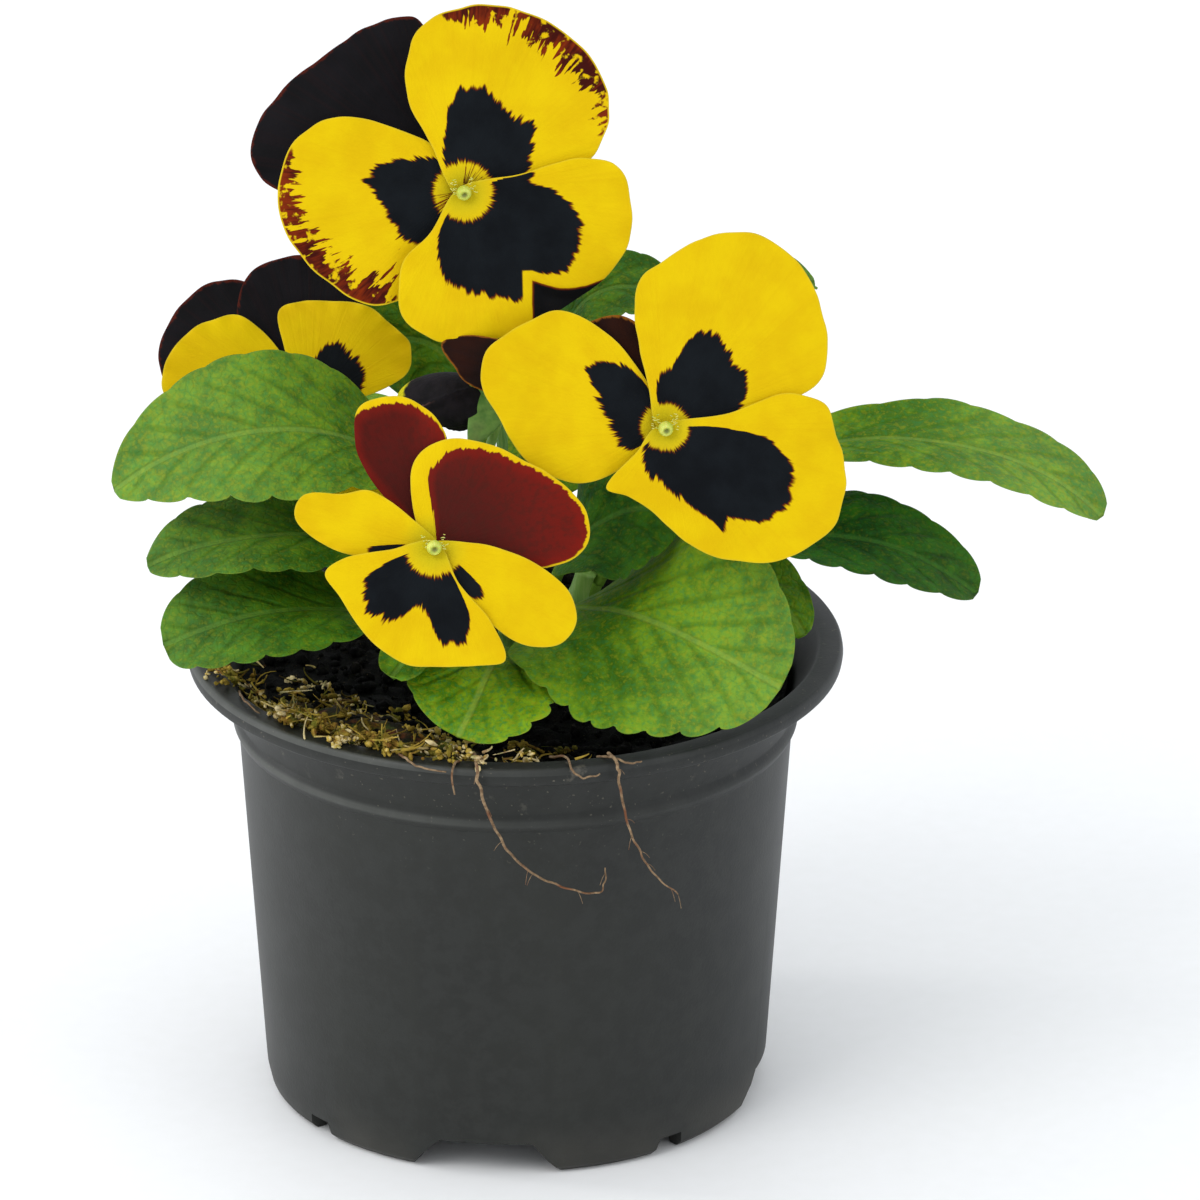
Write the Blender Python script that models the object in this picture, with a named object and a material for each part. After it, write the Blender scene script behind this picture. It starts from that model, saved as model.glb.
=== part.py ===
"""A pansy in flower in a black plastic nursery pot, with its compost, moss and loose roots.

Metres, +Z up. The origin is the middle of the pot's underside, on the surface that the pot
stands on. The flowers look towards -Y. Tables of places are in millimetres.
"""

import math

import bmesh
import bpy
from mathutils import Matrix, Vector, noise

MM = 0.001
GAP = 0.0003  # left between pieces that touch

# The pot.
POT_HEIGHT = 0.0868
RIM_RADIUS = 0.0600
RIM_FLAT = 0.0043
RIM_DROP = 0.0035
COLLAR_RADIUS = 0.0535
RIDGE_RADIUS = 0.0514
RIDGE_HEIGHT = 0.0725
FOOT_RADIUS = 0.0439
WALL = 0.0012
FLOOR_HEIGHT = 0.0072
CENTRE_FOOT_RADIUS = 0.0100
GAP_TURN = -6.6  # degrees from -Y towards +X, to the middle of the front gap
WIDE_GAP = (18.0, 10.6, 0.0066)  # half angle in degrees at the bottom and at the top, height
NARROW_GAP = (4.0, 3.0, 0.0036)
GAPS_OF_EACH_KIND = 4
DRAIN_RADIUS = 0.0045
DRAIN_CIRCLE = 0.0260
POT_STEPS = 48

# The compost and what lies on it.
SOIL_HEIGHT = 0.0790
SOIL_FLAT_RADIUS = 0.0160
MOSS_TURNS = (-78.0, 4.0)  # degrees from -Y towards +X
MOSS_RADII = (0.0385, 0.0515)
MOSS_THICKNESS = 0.0040

# The plant.
SHOOT_RADIUS = 0.0021
PETIOLE_RADIUS = 0.0011
STALK_RADIUS = 0.0010
BUD_STALK_RADIUS = 0.0009
ROOT_RADIUS = 0.00035
LEAF_THICKNESS = 0.0007
PETAL_THICKNESS = 0.0005
LAYER = 0.0009  # from the middle of one petal to the middle of the next behind it
PETAL_SIDES = 32
STIGMA_RADIUS = 0.0014

# Shoots: foot and tip of each, in mm.
SHOOTS = {
    "left": ((-6, -2), (-10, -2, 101)),
    "front": ((2, -7), (3, -12, 97)),
    "right": ((8, 1), (13, 1, 100)),
    "back": ((-1, 7), (-2, 9, 104)),
}

# Leaves: shoot, height of the foot on it, the curve's two handles and its tip in mm, blade
# width in mm, roll of the blade in degrees, share of the curve that is leaf stalk, the place
# along the blade where it is widest, and how pointed its tip is (0.5 is round).
LEAVES = {
    "left_high": ("left", 97, (-9, -8, 134), (-48, -28, 149), (-72, -24, 126), 30, -36, 0.22, 0.50, 0.80),
    "left_middle": ("left", 91, (-14, -14, 113), (-45, -32, 127), (-66, -30, 114), 24, -16, 0.30, 0.50, 0.75),
    "left_low": ("left", 86, (-14, -20, 103), (-42, -40, 114), (-63, -38, 102), 26, -18, 0.34, 0.50, 0.50),
    "front_round": ("front", 88, (9, -22, 110), (24, -40, 110), (48, -46, 97), 45, 42, 0.26, 0.42, 0.50),
    "front_left": ("front", 84, (-3, -26, 101), (-3, -43, 101), (-10, -52, 90), 26, -6, 0.40, 0.55, 0.50),
    "front_small": ("front", 93, (-8, -22, 107), (-12, -36, 109), (-22, -46, 99), 12, 0, 0.45, 0.50, 0.50),
    "right_small": ("right", 86, (24, -3, 100), (44, -4, 108), (53, -8, 91), 18, 25, 0.50, 0.40, 0.70),
    "right_long": ("right", 97, (26, 6, 121), (80, 4, 139), (107, -2, 112), 22, 12, 0.36, 0.60, 0.50),
    "right_low": ("right", 92, (28, -5, 108.5), (60, -11, 121.5), (84, -13, 101.5), 22, 12, 0.38, 0.55, 0.50),
    "inner_right": ("front", 95, (7, -15, 110), (15, -18, 125), (31, -19, 119), 28, 40, 0.32, 0.50, 0.50),
    "back_high": ("back", 100, (2, 16, 132), (8, 18, 158), (30, 15, 147), 18, 20, 0.45, 0.50, 0.50),
    "back_peak": ("back", 96, (-3, 20, 122), (-10, 24, 148), (-31, 18, 134), 26, -60, 0.40, 0.50, 0.50),
    "right_high": ("right", 99, (18, 12, 128), (38, 24, 160), (55, 26, 146), 18, 10, 0.45, 0.50, 0.50),
    "back_left": ("back", 90, (-10, 26, 112), (-34, 44, 124), (-50, 50, 104), 24, 0, 0.34, 0.55, 0.50),
    "back_middle": ("back", 86, (4, 22, 108), (12, 44, 122), (16, 62, 102), 24, 0, 0.34, 0.55, 0.50),
    "back_right": ("right", 88, (22, 16, 112), (42, 34, 126), (54, 46, 106), 24, 0, 0.34, 0.55, 0.50),
}

# Flowers: throat in mm, heading and upward tilt of the face in degrees, how far the petals
# curl forward at 30 mm out, the shoot, and the stalk's route between the shoot and the calyx.
FLOWERS = {
    "top": ((-9, -16, 181), 3, 20, -1.0, "back", ((-3, 11, 130), (-8, 10, 172))),
    "right": ((27, -37, 144), 5, 20, -1.0, "right", ((20, 0, 118), (29, -18, 140))),
    "low": ((-14, -52, 127), 0, 25, -1.0, "front", ((-1, -24, 112), (-10, -36, 126))),
    "left": ((-37, 5, 131), -8, 20, -1.0, "left", ((-20, 10, 114), (-34, 20, 124))),
}

# Petals: how far it curls towards the front at 30 mm out, in mm, then the outline, anticlockwise from
# the throat: the angle in the face from its right hand side and the distance from the throat.
PETALS = {
    "top": {
        "upper_left": (-1.5, (
            (96, 10), (99, 22), (104, 32), (119, 34), (133, 34.5), (147, 36.5), (160, 38.5), (171, 38),
            (179, 33), (185, 23), (188, 12),
        )),
        "upper_right": (-1, (
            (52, 9), (56, 19), (66, 26), (78, 29), (90, 29), (101, 26), (110, 21), (117, 11),
        )),
        "lateral_left": (1, (
            (123, 10), (138, 18), (148, 26), (160, 31), (173, 33), (187, 33), (202, 31), (217, 28.5),
            (231, 26), (243, 20), (250, 10),
        )),
        "lateral_right": (1, (
            (5, 12), (13, 23), (24, 28.5), (36, 32), (49, 33.5), (62, 34), (75, 34), (89, 33),
            (102, 31), (112, 26), (120, 19), (124, 10),
        )),
        "lip": (1, (
            (-131, 9), (-131, 17), (-119, 24), (-104, 27), (-88, 27), (-72, 27), (-57, 27), (-44, 28),
            (-31, 30), (-18, 31), (-5, 30), (8, 28), (15, 21), (17, 10),
        )),
    },
    "right": {
        "upper_left": (-1.2, ((143, 12), (147, 24), (151, 35), (157, 42), (162, 39), (167, 33), (172, 13))),
        "upper_right": (-1, ((92, 9), (98, 17), (110, 21.5), (124, 23), (138, 23), (150, 19), (158, 10))),
        "lateral_left": (1, (
            (109, 9), (120, 20), (130, 28), (143, 31.5), (156, 35), (167, 33), (177, 29), (190, 26),
            (205, 21), (218, 15), (224, 7),
        )),
        "lateral_right": (1, (
            (4, 10), (8, 20), (15, 29), (26, 33), (37, 35.5), (49, 38), (62, 38), (74, 35.5),
            (87, 30.5), (99, 26), (105, 18), (109, 9),
        )),
        "lip": (1, (
            (-141, 7), (-137, 15), (-119, 14), (-99, 15.5), (-81, 21), (-67, 26), (-54, 30.5), (-42, 33.5),
            (-30, 35), (-17, 33.5), (-5, 31), (7, 28.5), (14, 22), (11, 11),
        )),
    },
    "low": {
        "upper_left": (-2, (
            (80, 10), (84, 20), (96, 26), (108, 28.5), (119, 28.5), (128, 23), (134, 15), (134, 7),
        )),
        "upper_right": (-1, (
            (-16, 10), (-11, 19), (-4, 25.5), (7, 28), (19, 27), (32, 24.5), (46, 22), (62, 21),
            (78, 20), (94, 18), (108, 14), (121, 7),
        )),
        "lateral_left": (1, (
            (129, 7), (138, 15), (150, 19), (158, 25), (168, 25.5), (176, 21.5), (184, 16), (194, 8),
        )),
        "lateral_right": (1, (
            (-58, 8), (-54, 17), (-47, 24), (-37, 28.5), (-27, 28.5), (-18, 25), (-10, 19), (-3, 13),
            (6, 7),
        )),
        "lip": (1, (
            (-176, 8), (-173, 16), (-166, 20), (-151, 19), (-136, 19.5), (-120, 20.5), (-103, 21.5),
            (-86, 21.5), (-71, 22.5), (-58, 24), (-53, 17), (-56, 8),
        )),
    },
    "left": {
        "upper_left": (-2, (
            (112, 13), (120, 24), (132, 29), (144, 30.5), (156, 31), (168, 30), (179, 26), (188, 18),
            (192, 9),
        )),
        "upper_right": (-1, (
            (58, 10), (65, 20), (80, 24.5), (94, 27), (107, 27.5), (120, 26.5), (133, 21.5), (142, 11),
        )),
        "lateral_left": (1, (
            (119, 8), (130, 20), (144, 24.5), (157, 27), (170, 28), (183, 26), (194, 19), (199, 9),
        )),
        "lateral_right": (1, (
            (12, 9), (20, 18), (34, 21.5), (49, 21), (64, 21), (81, 19.5), (98, 19), (112, 18),
            (120, 9),
        )),
        "lip": (1, (
            (-136, 9), (-127, 18), (-110, 23.5), (-91, 26), (-71, 26.5), (-51, 25.5), (-32, 22), (-16, 17),
            (-8, 8),
        )),
    },
}
LAYERS = {"upper_left": -2, "upper_right": -1, "lateral_left": 0, "lateral_right": 1, "lip": 2}
CLAW = -1.0  # mm past the throat, where each petal's outline closes

# The bud nods to the left on a hooked stalk.
BUD_MIDDLE = (-13, -12, 139)
BUD_HALF = (8.2, 4.6, 5.2)
BUD_STALK = ((-6, -3, 118), (-2, -6, 136), (-1, -10, 142))

# Loose roots hang over the rim.
ROOTS = {
    "left": (
        (-7, -54, 87.6), (-6.5, -60.2, 87.6), (-6, -61.3, 84), (-3, -58, 74), (1.5, -54.5, 66),
        (8, -53.5, 61.5), (15.5, -52.8, 60), (16.5, -52.6, 64.5),
    ),
    "right": (
        (17, -53.5, 87.6), (18.5, -57.6, 87.6), (19, -58.8, 84), (21, -55.5, 73), (24.5, -51.5, 64),
        (29.5, -48.5, 57.5),
    ),
}


def clear_scene():
    for old in list(bpy.data.objects):
        bpy.data.objects.remove(old)


def material(name, colour, roughness):
    """A Principled material, made once for each name."""
    found = bpy.data.materials.get(name)
    if found:
        return found
    made = bpy.data.materials.new(name)
    made.use_nodes = True
    shader = made.node_tree.nodes["Principled BSDF"]
    shader.inputs["Base Color"].default_value = (*colour, 1)
    shader.inputs["Roughness"].default_value = roughness
    shader.inputs["Metallic"].default_value = 0
    return made


def pot_plastic():
    return material("pot_plastic", (0.040, 0.044, 0.043), 0.5)


def compost():
    return material("compost", (0.020, 0.014, 0.010), 0.95)


def moss_green():
    return material("moss", (0.22, 0.17, 0.06), 0.95)


def root_brown():
    return material("root", (0.24, 0.14, 0.07), 0.8)


def leaf_green():
    return material("leaf", (0.075, 0.20, 0.045), 0.55)


def stem_green():
    return material("stem", (0.16, 0.32, 0.07), 0.5)


def yellow():
    return material("yellow_petal", (0.85, 0.65, 0.01), 0.6)


def dark():
    return material("dark_petal", (0.018, 0.007, 0.012), 0.6)


def maroon():
    return material("maroon_petal", (0.16, 0.012, 0.010), 0.6)


def add_mesh(name, bm, finish):
    """A new object of this mesh, shaded smooth with its sharp edges kept."""
    if bm.calc_volume(signed=True) < 0:
        bmesh.ops.reverse_faces(bm, faces=bm.faces)
    mesh = bpy.data.meshes.new(name)
    bm.to_mesh(mesh)
    bm.free()
    mesh.shade_smooth()
    mesh.set_sharp_from_angle(angle=math.radians(40))
    mesh.materials.append(finish)
    made = bpy.data.objects.new(name, mesh)
    bpy.context.scene.collection.objects.link(made)
    return made


def on_circle(radius, turn, height=0.0):
    """The point at this radius and height, turned in degrees from -Y towards +X."""
    angle = math.radians(turn)
    return Vector((radius * math.sin(angle), -radius * math.cos(angle), height))


def turned(profile, steps):
    """A solid of revolution about Z from its profile of (radius, height) points."""
    bm = bmesh.new()
    points = [bm.verts.new((radius, 0, height)) for radius, height in profile]
    edges = [bm.edges.new(pair) for pair in zip(points, points[1:])]
    bmesh.ops.spin(
        bm, geom=points + edges, axis=(0, 0, 1), cent=(0, 0, 0), angle=math.tau, steps=steps,
        use_merge=True, use_duplicate=False,
    )
    bmesh.ops.remove_doubles(bm, verts=bm.verts, dist=1e-6)
    return bm


def smooth_route(points, per_span):
    """Points on a smooth curve through the given ones, per_span of them to each span."""
    ends = [2 * points[0] - points[1], *points, 2 * points[-1] - points[-2]]
    route = []
    for before, start, end, after in zip(ends, ends[1:], ends[2:], ends[3:]):
        for step in range(per_span):
            t = step / per_span
            route.append(
                0.5 * (2 * start + (end - before) * t
                + (2 * before - 5 * start + 4 * end - after) * t * t
                + (3 * start - before - 3 * end + after) * t ** 3)
            )
    route.append(points[-1])
    return route


def tube(name, route, radius, finish, sides=2, taper=1.0):
    """A round stem along the route, whose far end is taper times as thick."""
    curve = bpy.data.curves.new(name, "CURVE")
    curve.dimensions = "3D"
    curve.bevel_depth = radius
    curve.bevel_resolution = sides
    curve.use_fill_caps = True
    spline = curve.splines.new("POLY")
    spline.points.add(len(route) - 1)
    for index, (point, place) in enumerate(zip(spline.points, route)):
        point.co = (*place, 1)
        point.radius = 1 + (taper - 1) * index / (len(route) - 1)
    curve.materials.append(finish)
    made = bpy.data.objects.new(name, curve)
    bpy.context.scene.collection.objects.link(made)
    return made


def cutter_from(bm):
    cutter = add_mesh("cutter", bm, pot_plastic())
    cutter.hide_render = True
    cutter.display_type = "WIRE"
    return cutter


# ---------------------------------------------------------------- pot, compost and moss


def pot_profile():
    """The pot's outline from the middle of its underside, round the rim, to its floor."""
    rim_foot = POT_HEIGHT - RIM_DROP
    floor_top = FLOOR_HEIGHT + WALL
    edge = 0.0006
    return [
        (0, 0),
        (CENTRE_FOOT_RADIUS, 0),
        (CENTRE_FOOT_RADIUS + edge, FLOOR_HEIGHT),
        (FOOT_RADIUS - 2.5 * WALL, FLOOR_HEIGHT),
        (FOOT_RADIUS - 1.5 * WALL, 0),
        (FOOT_RADIUS, 0),
        (FOOT_RADIUS + 0.0015, 0.0013),
        (FOOT_RADIUS + 0.0022, 0.0045),
        (RIDGE_RADIUS - edge, RIDGE_HEIGHT - 0.0018),
        (RIDGE_RADIUS, RIDGE_HEIGHT),
        (RIDGE_RADIUS - 0.0003, RIDGE_HEIGHT + 0.0018),
        (RIDGE_RADIUS + 0.0007, RIDGE_HEIGHT + 0.0060),
        (COLLAR_RADIUS, rim_foot),
        (RIM_RADIUS - 2 * edge, rim_foot),
        (RIM_RADIUS - 0.3 * edge, rim_foot + edge),
        (RIM_RADIUS, rim_foot + 0.0018),
        (RIM_RADIUS - 0.3 * edge, POT_HEIGHT - edge),
        (RIM_RADIUS - edge, POT_HEIGHT),
        (RIM_RADIUS - RIM_FLAT, POT_HEIGHT),
        (RIM_RADIUS - RIM_FLAT - edge, POT_HEIGHT - edge),
        (COLLAR_RADIUS - WALL, rim_foot - WALL),
        (RIDGE_RADIUS - WALL, RIDGE_HEIGHT + 0.0050),
        (RIDGE_RADIUS - edge - WALL, RIDGE_HEIGHT),
        (FOOT_RADIUS + 0.0022 - WALL, FLOOR_HEIGHT + 0.0020),
        (FOOT_RADIUS - WALL, floor_top),
        (0, floor_top),
    ]


def foot_gap(bm, turn, gap):
    """Adds the wedge that cuts one gap in the foot, wider at the bottom than at the top."""
    low, high, height = gap
    below = -0.0020
    made = bmesh.ops.create_cube(bm, size=1)["verts"]
    for corner in made:
        level = height if corner.co.z > 0 else below
        half = low + (high - low) * level / height
        radius = 0.0385 if corner.co.y > 0 else 0.0520
        side = math.copysign(half, corner.co.x)
        corner.co = on_circle(radius, turn + side, level)


def make_pot():
    pot = add_mesh("pot", turned(pot_profile(), POT_STEPS), pot_plastic())
    bm = bmesh.new()
    between = 360 / GAPS_OF_EACH_KIND
    for index in range(GAPS_OF_EACH_KIND):
        wide = GAP_TURN + index * between
        foot_gap(bm, wide, WIDE_GAP)
        foot_gap(bm, wide + between / 2, NARROW_GAP)
        drain = Matrix.Translation(on_circle(DRAIN_CIRCLE, wide, FLOOR_HEIGHT))
        bmesh.ops.create_cone(
            bm, cap_ends=True, segments=16, radius1=DRAIN_RADIUS, radius2=DRAIN_RADIUS,
            depth=4 * WALL, matrix=drain,
        )
    cut = pot.modifiers.new("foot_gaps_and_drains", "BOOLEAN")
    cut.operation = "DIFFERENCE"
    cut.object = cutter_from(bm)


def soil_height(x, y):
    """The compost's surface: flat round the shoots, lumpy outside, heaped at the front left."""
    out = math.hypot(x, y)
    lumpy = min(1, max(0, out - SOIL_FLAT_RADIUS) / 0.010)
    lump = 0.0016 * noise.noise(Vector((x, y, 0)) / 0.009)
    heap = 0.0045 * math.exp(-((x + 0.028) ** 2 + (y + 0.036) ** 2) / 0.020 ** 2)
    return SOIL_HEIGHT + lumpy * (lump + heap)


def make_soil():
    """The compost fills the pot, clear of its wall by a small gap."""
    clear = WALL + 1.5 * GAP
    slope_foot = FLOOR_HEIGHT + 0.0020 + GAP
    profile = [
        (0, FLOOR_HEIGHT + WALL + GAP),
        (FOOT_RADIUS - clear, FLOOR_HEIGHT + WALL + GAP),
        (FOOT_RADIUS + 0.0022 - clear - GAP, slope_foot),
        (RIDGE_RADIUS - 0.0006 - clear, RIDGE_HEIGHT),
    ]
    edge = RIDGE_RADIUS - clear
    profile += [(edge * share, SOIL_HEIGHT) for share in (1, 0.88, 0.74, 0.58, 0.40, 0.20)]
    profile += [(0, SOIL_HEIGHT)]
    bm = turned(profile, POT_STEPS)
    for point in bm.verts:
        if point.co.z > SOIL_HEIGHT - GAP:
            point.co.z = soil_height(point.co.x, point.co.y)
    add_mesh("compost", bm, compost())


def make_moss():
    """A thin cushion of moss and straw, curved along the front left of the rim."""
    bm = bmesh.new()
    bmesh.ops.create_uvsphere(bm, u_segments=10, v_segments=16, radius=1)
    middle = sum(MOSS_RADII) / 2
    half = (MOSS_RADII[1] - MOSS_RADII[0]) / 2
    for point in bm.verts:
        along = math.acos(max(-1, min(1, point.co.z))) / math.pi
        turn = MOSS_TURNS[0] + (MOSS_TURNS[1] - MOSS_TURNS[0]) * along
        place = on_circle(middle + half * point.co.x, turn)
        rise = 0.0011 + MOSS_THICKNESS * (0.5 + 0.5 * point.co.y)
        point.co = (place.x, place.y, soil_height(place.x, place.y) + rise)
    add_mesh("moss", bm, moss_green())


# ---------------------------------------------------------------- shoots, leaves and roots


def shoot_route(shoot):
    (x, y), tip = SHOOTS[shoot]
    foot = Vector((x * MM, y * MM, SOIL_HEIGHT + 2 * GAP))
    return foot, Vector(tip) * MM


def make_shoots():
    for shoot in SHOOTS:
        foot, tip = shoot_route(shoot)
        middle = foot.lerp(tip, 0.5)
        middle.xy = foot.xy.lerp(tip.xy, 0.35)
        route = smooth_route([foot, foot + Vector((0, 0, 0.003)), middle, tip], 3)
        tube(f"shoot_{shoot}", route, SHOOT_RADIUS, stem_green())


def beside_shoot(shoot, height, towards):
    """The point beside the shoot at this height, where a leaf stalk starts towards a place."""
    foot, tip = shoot_route(shoot)
    share = (height * MM - foot.z) / (tip.z - foot.z)
    place = foot.lerp(tip, share)
    place.xy = foot.xy.lerp(tip.xy, share ** 1.4)
    away = Vector((towards.x - place.x, towards.y - place.y, 0)).normalized()
    return place + away * (SHOOT_RADIUS + PETIOLE_RADIUS + 3 * GAP)


def bezier(points, t):
    """A cubic curve's place and direction at t."""
    a, b, c, d = points
    s = 1 - t
    place = s ** 3 * a + 3 * s * s * t * b + 3 * s * t * t * c + t ** 3 * d
    way = s * s * (b - a) + 2 * s * t * (c - b) + t * t * (d - c)
    return place, way.normalized()


def blade_half_width(share, widest, pointed):
    """Half the blade's width, as a share of its largest, from its base (0) to its tip (1)."""
    rise = pointed * widest / (1 - widest)
    peak = widest ** rise * (1 - widest) ** pointed
    return share ** rise * (1 - share) ** pointed / peak


def make_leaf(name, shoot, height, lift, crest, tip, width, roll, stalk_share, widest, pointed):
    """A leaf in one piece: a round stalk that flattens into a thin, drooping blade."""
    lift, crest, tip = (Vector(point) * MM for point in (lift, crest, tip))
    foot = beside_shoot(shoot, height, crest)
    across_ground = (tip - foot).cross(Vector((0, 0, 1))).normalized()
    bm = bmesh.new()
    bmesh.ops.create_uvsphere(bm, u_segments=8, v_segments=16, radius=1)
    for point in bm.verts:
        t = math.acos(max(-1, min(1, -point.co.z))) / math.pi
        ring = Vector((point.co.x, point.co.y))
        if ring.length > 1e-6:
            ring.normalize()
        place, way = bezier((foot, lift, crest, tip), t)
        share = max(0, (t - stalk_share) / (1 - stalk_share))
        across = Matrix.Rotation(math.radians(roll) * min(1, 2 * share), 3, way) @ across_ground
        across = (across - way * across.dot(way)).normalized()
        up = across.cross(way)
        wide = PETIOLE_RADIUS + width / 2 * MM * blade_half_width(share, widest, pointed)
        flat = min(1, 4 * share)
        deep = PETIOLE_RADIUS + (LEAF_THICKNESS / 2 - PETIOLE_RADIUS) * flat
        fold = 0.12 * wide * flat * ring.x ** 2
        if t in (0, 1):
            wide = 0
        point.co = place + across * wide * ring.x + up * (deep * ring.y + fold)
    add_mesh(f"leaf_{name}", bm, leaf_green())


def make_roots():
    for name, points in ROOTS.items():
        route = smooth_route([Vector(point) * MM for point in points], 4)
        tube(f"root_{name}", route, ROOT_RADIUS, root_brown(), sides=1, taper=0.7)


# ---------------------------------------------------------------- flowers and bud


def face_frame(throat, heading, tilt):
    """The flower's frame: X to its right as seen, Y up, and Z out of its face."""
    turn = Matrix.Rotation(math.radians(heading), 4, "Z")
    lean = Matrix.Rotation(math.radians(90 - tilt), 4, "X")
    return Matrix.Translation(Vector(throat) * MM) @ turn @ lean


def smooth_loop(points, turn):
    """The point at this turn, 0 to 1, of the smooth closed curve through the given ones."""
    count = len(points)
    index = math.floor(turn * count)
    t = turn * count - index
    before, start, end, after = (points[(index + step) % count] for step in (-1, 0, 1, 2))
    return 0.5 * (
        2 * start + (end - before) * t + (2 * before - 5 * start + 4 * end - after) * t * t
        + (3 * start - before - 3 * end + after) * t ** 3
    )


def petal_outline(flower, name):
    """The outline's points in mm in the flower's face, from the claw, and the body's middle."""
    points = [
        Vector((out * math.cos(math.radians(angle)), out * math.sin(math.radians(angle))))
        for angle, out in PETALS[flower][name][1]
    ]
    middle = sum(points, Vector((0, 0))) / len(points)
    return [middle.normalized() * CLAW, *points], 0.75 * middle


def make_petal(flower, name, finish):
    curl = PETALS[flower][name][0]
    throat, heading, tilt, dish = FLOWERS[flower][:4]
    frame = face_frame(throat, heading, tilt)
    outline, middle = petal_outline(flower, name)
    bm = bmesh.new()
    bmesh.ops.create_uvsphere(bm, u_segments=PETAL_SIDES, v_segments=6, radius=1)
    for point in bm.verts:
        out = min(1, math.hypot(point.co.x, point.co.y))
        turn = math.atan2(point.co.y, point.co.x) / math.tau % 1
        place = middle.lerp(smooth_loop(outline, turn), out)
        rise = dish * (place.length / 30) ** 2 + curl * (place.length / 30) ** 3
        side = 0 if out > 0.99 else math.copysign(PETAL_THICKNESS / 2, point.co.z)
        point.co = frame @ Vector((*place * MM, rise * MM + LAYERS[name] * LAYER + side))
    add_mesh(f"{flower}_flower_{name}", bm, finish)


def star(frame, length, waist, front, back, sweep):
    """A five-pointed calyx: a thick middle and thin sepals that sweep back behind it."""
    bm = bmesh.new()
    bmesh.ops.create_uvsphere(bm, u_segments=20, v_segments=6, radius=1)
    for point in bm.verts:
        out = min(1, math.hypot(point.co.x, point.co.y))
        angle = math.atan2(point.co.y, point.co.x)
        sepal = max(0, math.cos(2.5 * angle)) ** 2 if out > 0 else 0
        reach = out * (waist + (length - waist) * sepal)
        thick = front if point.co.z > 0 else -back
        rise = thick * (1 - out) ** 0.5 - sweep * out * out
        point.co = frame @ Vector((reach * math.cos(angle), reach * math.sin(angle), rise))
    return bm


def make_flower(flower, uppers):
    throat, heading, tilt, _, shoot, stalk_points = FLOWERS[flower]
    frame = face_frame(throat, heading, tilt)
    for name in PETALS[flower]:
        make_petal(flower, name, uppers if name.startswith("upper") else yellow())
    behind = -2.5 * LAYER - PETAL_THICKNESS / 2 - 0.0012
    calyx_frame = frame @ Matrix.Translation((0, 0, behind)) @ Matrix.Rotation(math.pi / 2, 4, "Z")
    add_mesh(f"{flower}_flower_calyx", star(calyx_frame, 0.011, 0.0035, 0.0008, 0.0042, 0.003), stem_green())
    bm = bmesh.new()
    front = 2.5 * LAYER + PETAL_THICKNESS / 2 + GAP + STIGMA_RADIUS
    bmesh.ops.create_icosphere(
        bm, subdivisions=1, radius=STIGMA_RADIUS, matrix=frame @ Matrix.Translation((0, 0, front))
    )
    add_mesh(f"{flower}_flower_stigma", bm, stem_green())
    start = shoot_route(shoot)[1] + Vector((0, 0, 3 * GAP))
    end = frame @ Vector((0, 0.0005, behind - 0.0042 - 2 * GAP - 0.0002))
    approach = frame @ Vector((0, 0.0018, behind - 0.0042 - 0.0045))
    route = [start, start + Vector((0, 0, 0.004)), *(Vector(point) * MM for point in stalk_points)]
    route += [approach, end]
    tube(f"{flower}_flower_stalk", smooth_route(route, 3), STALK_RADIUS, stem_green(), sides=1)


def make_bud():
    middle = Vector(BUD_MIDDLE) * MM
    tip_left = Matrix.Rotation(math.radians(-90), 4, "Y") @ Matrix.Rotation(math.radians(-8), 4, "X")
    frame = Matrix.Translation(middle) @ tip_left
    bm = bmesh.new()
    bmesh.ops.create_uvsphere(bm, u_segments=12, v_segments=8, radius=1)
    for point in bm.verts:
        swell = 1 - 0.25 * point.co.z
        x = point.co.x * BUD_HALF[2] * swell
        y = point.co.y * BUD_HALF[1] * swell
        point.co = frame @ (Vector((x, y, point.co.z * BUD_HALF[0])) * MM)
    add_mesh("bud_petals", bm, dark())
    back = frame @ Matrix.Translation((0, 0, -BUD_HALF[0] * MM - 0.0016))
    add_mesh("bud_calyx", star(back, 0.0085, 0.0032, 0.0008, 0.0025, 0.0005), stem_green())
    foot = beside_shoot("left", 94, Vector(BUD_STALK[0]) * MM)
    route = [foot, *(Vector(point) * MM for point in BUD_STALK)]
    route += [back @ Vector((0, 0, -0.0065)), back @ Vector((0, 0, -0.0025 - 3 * GAP))]
    tube("bud_stalk", smooth_route(route, 3), BUD_STALK_RADIUS, stem_green(), sides=1)


clear_scene()
make_pot()
make_soil()
make_moss()
make_shoots()
for leaf_name, leaf_shape in LEAVES.items():
    make_leaf(leaf_name, *leaf_shape)
make_roots()
for flower_name, upper_finish in {"top": dark, "right": maroon, "low": maroon, "left": dark}.items():
    make_flower(flower_name, upper_finish())
make_bud()
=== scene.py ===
import math
import random

import bmesh
import bpy
from mathutils import Color, Matrix, Vector, noise


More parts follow.
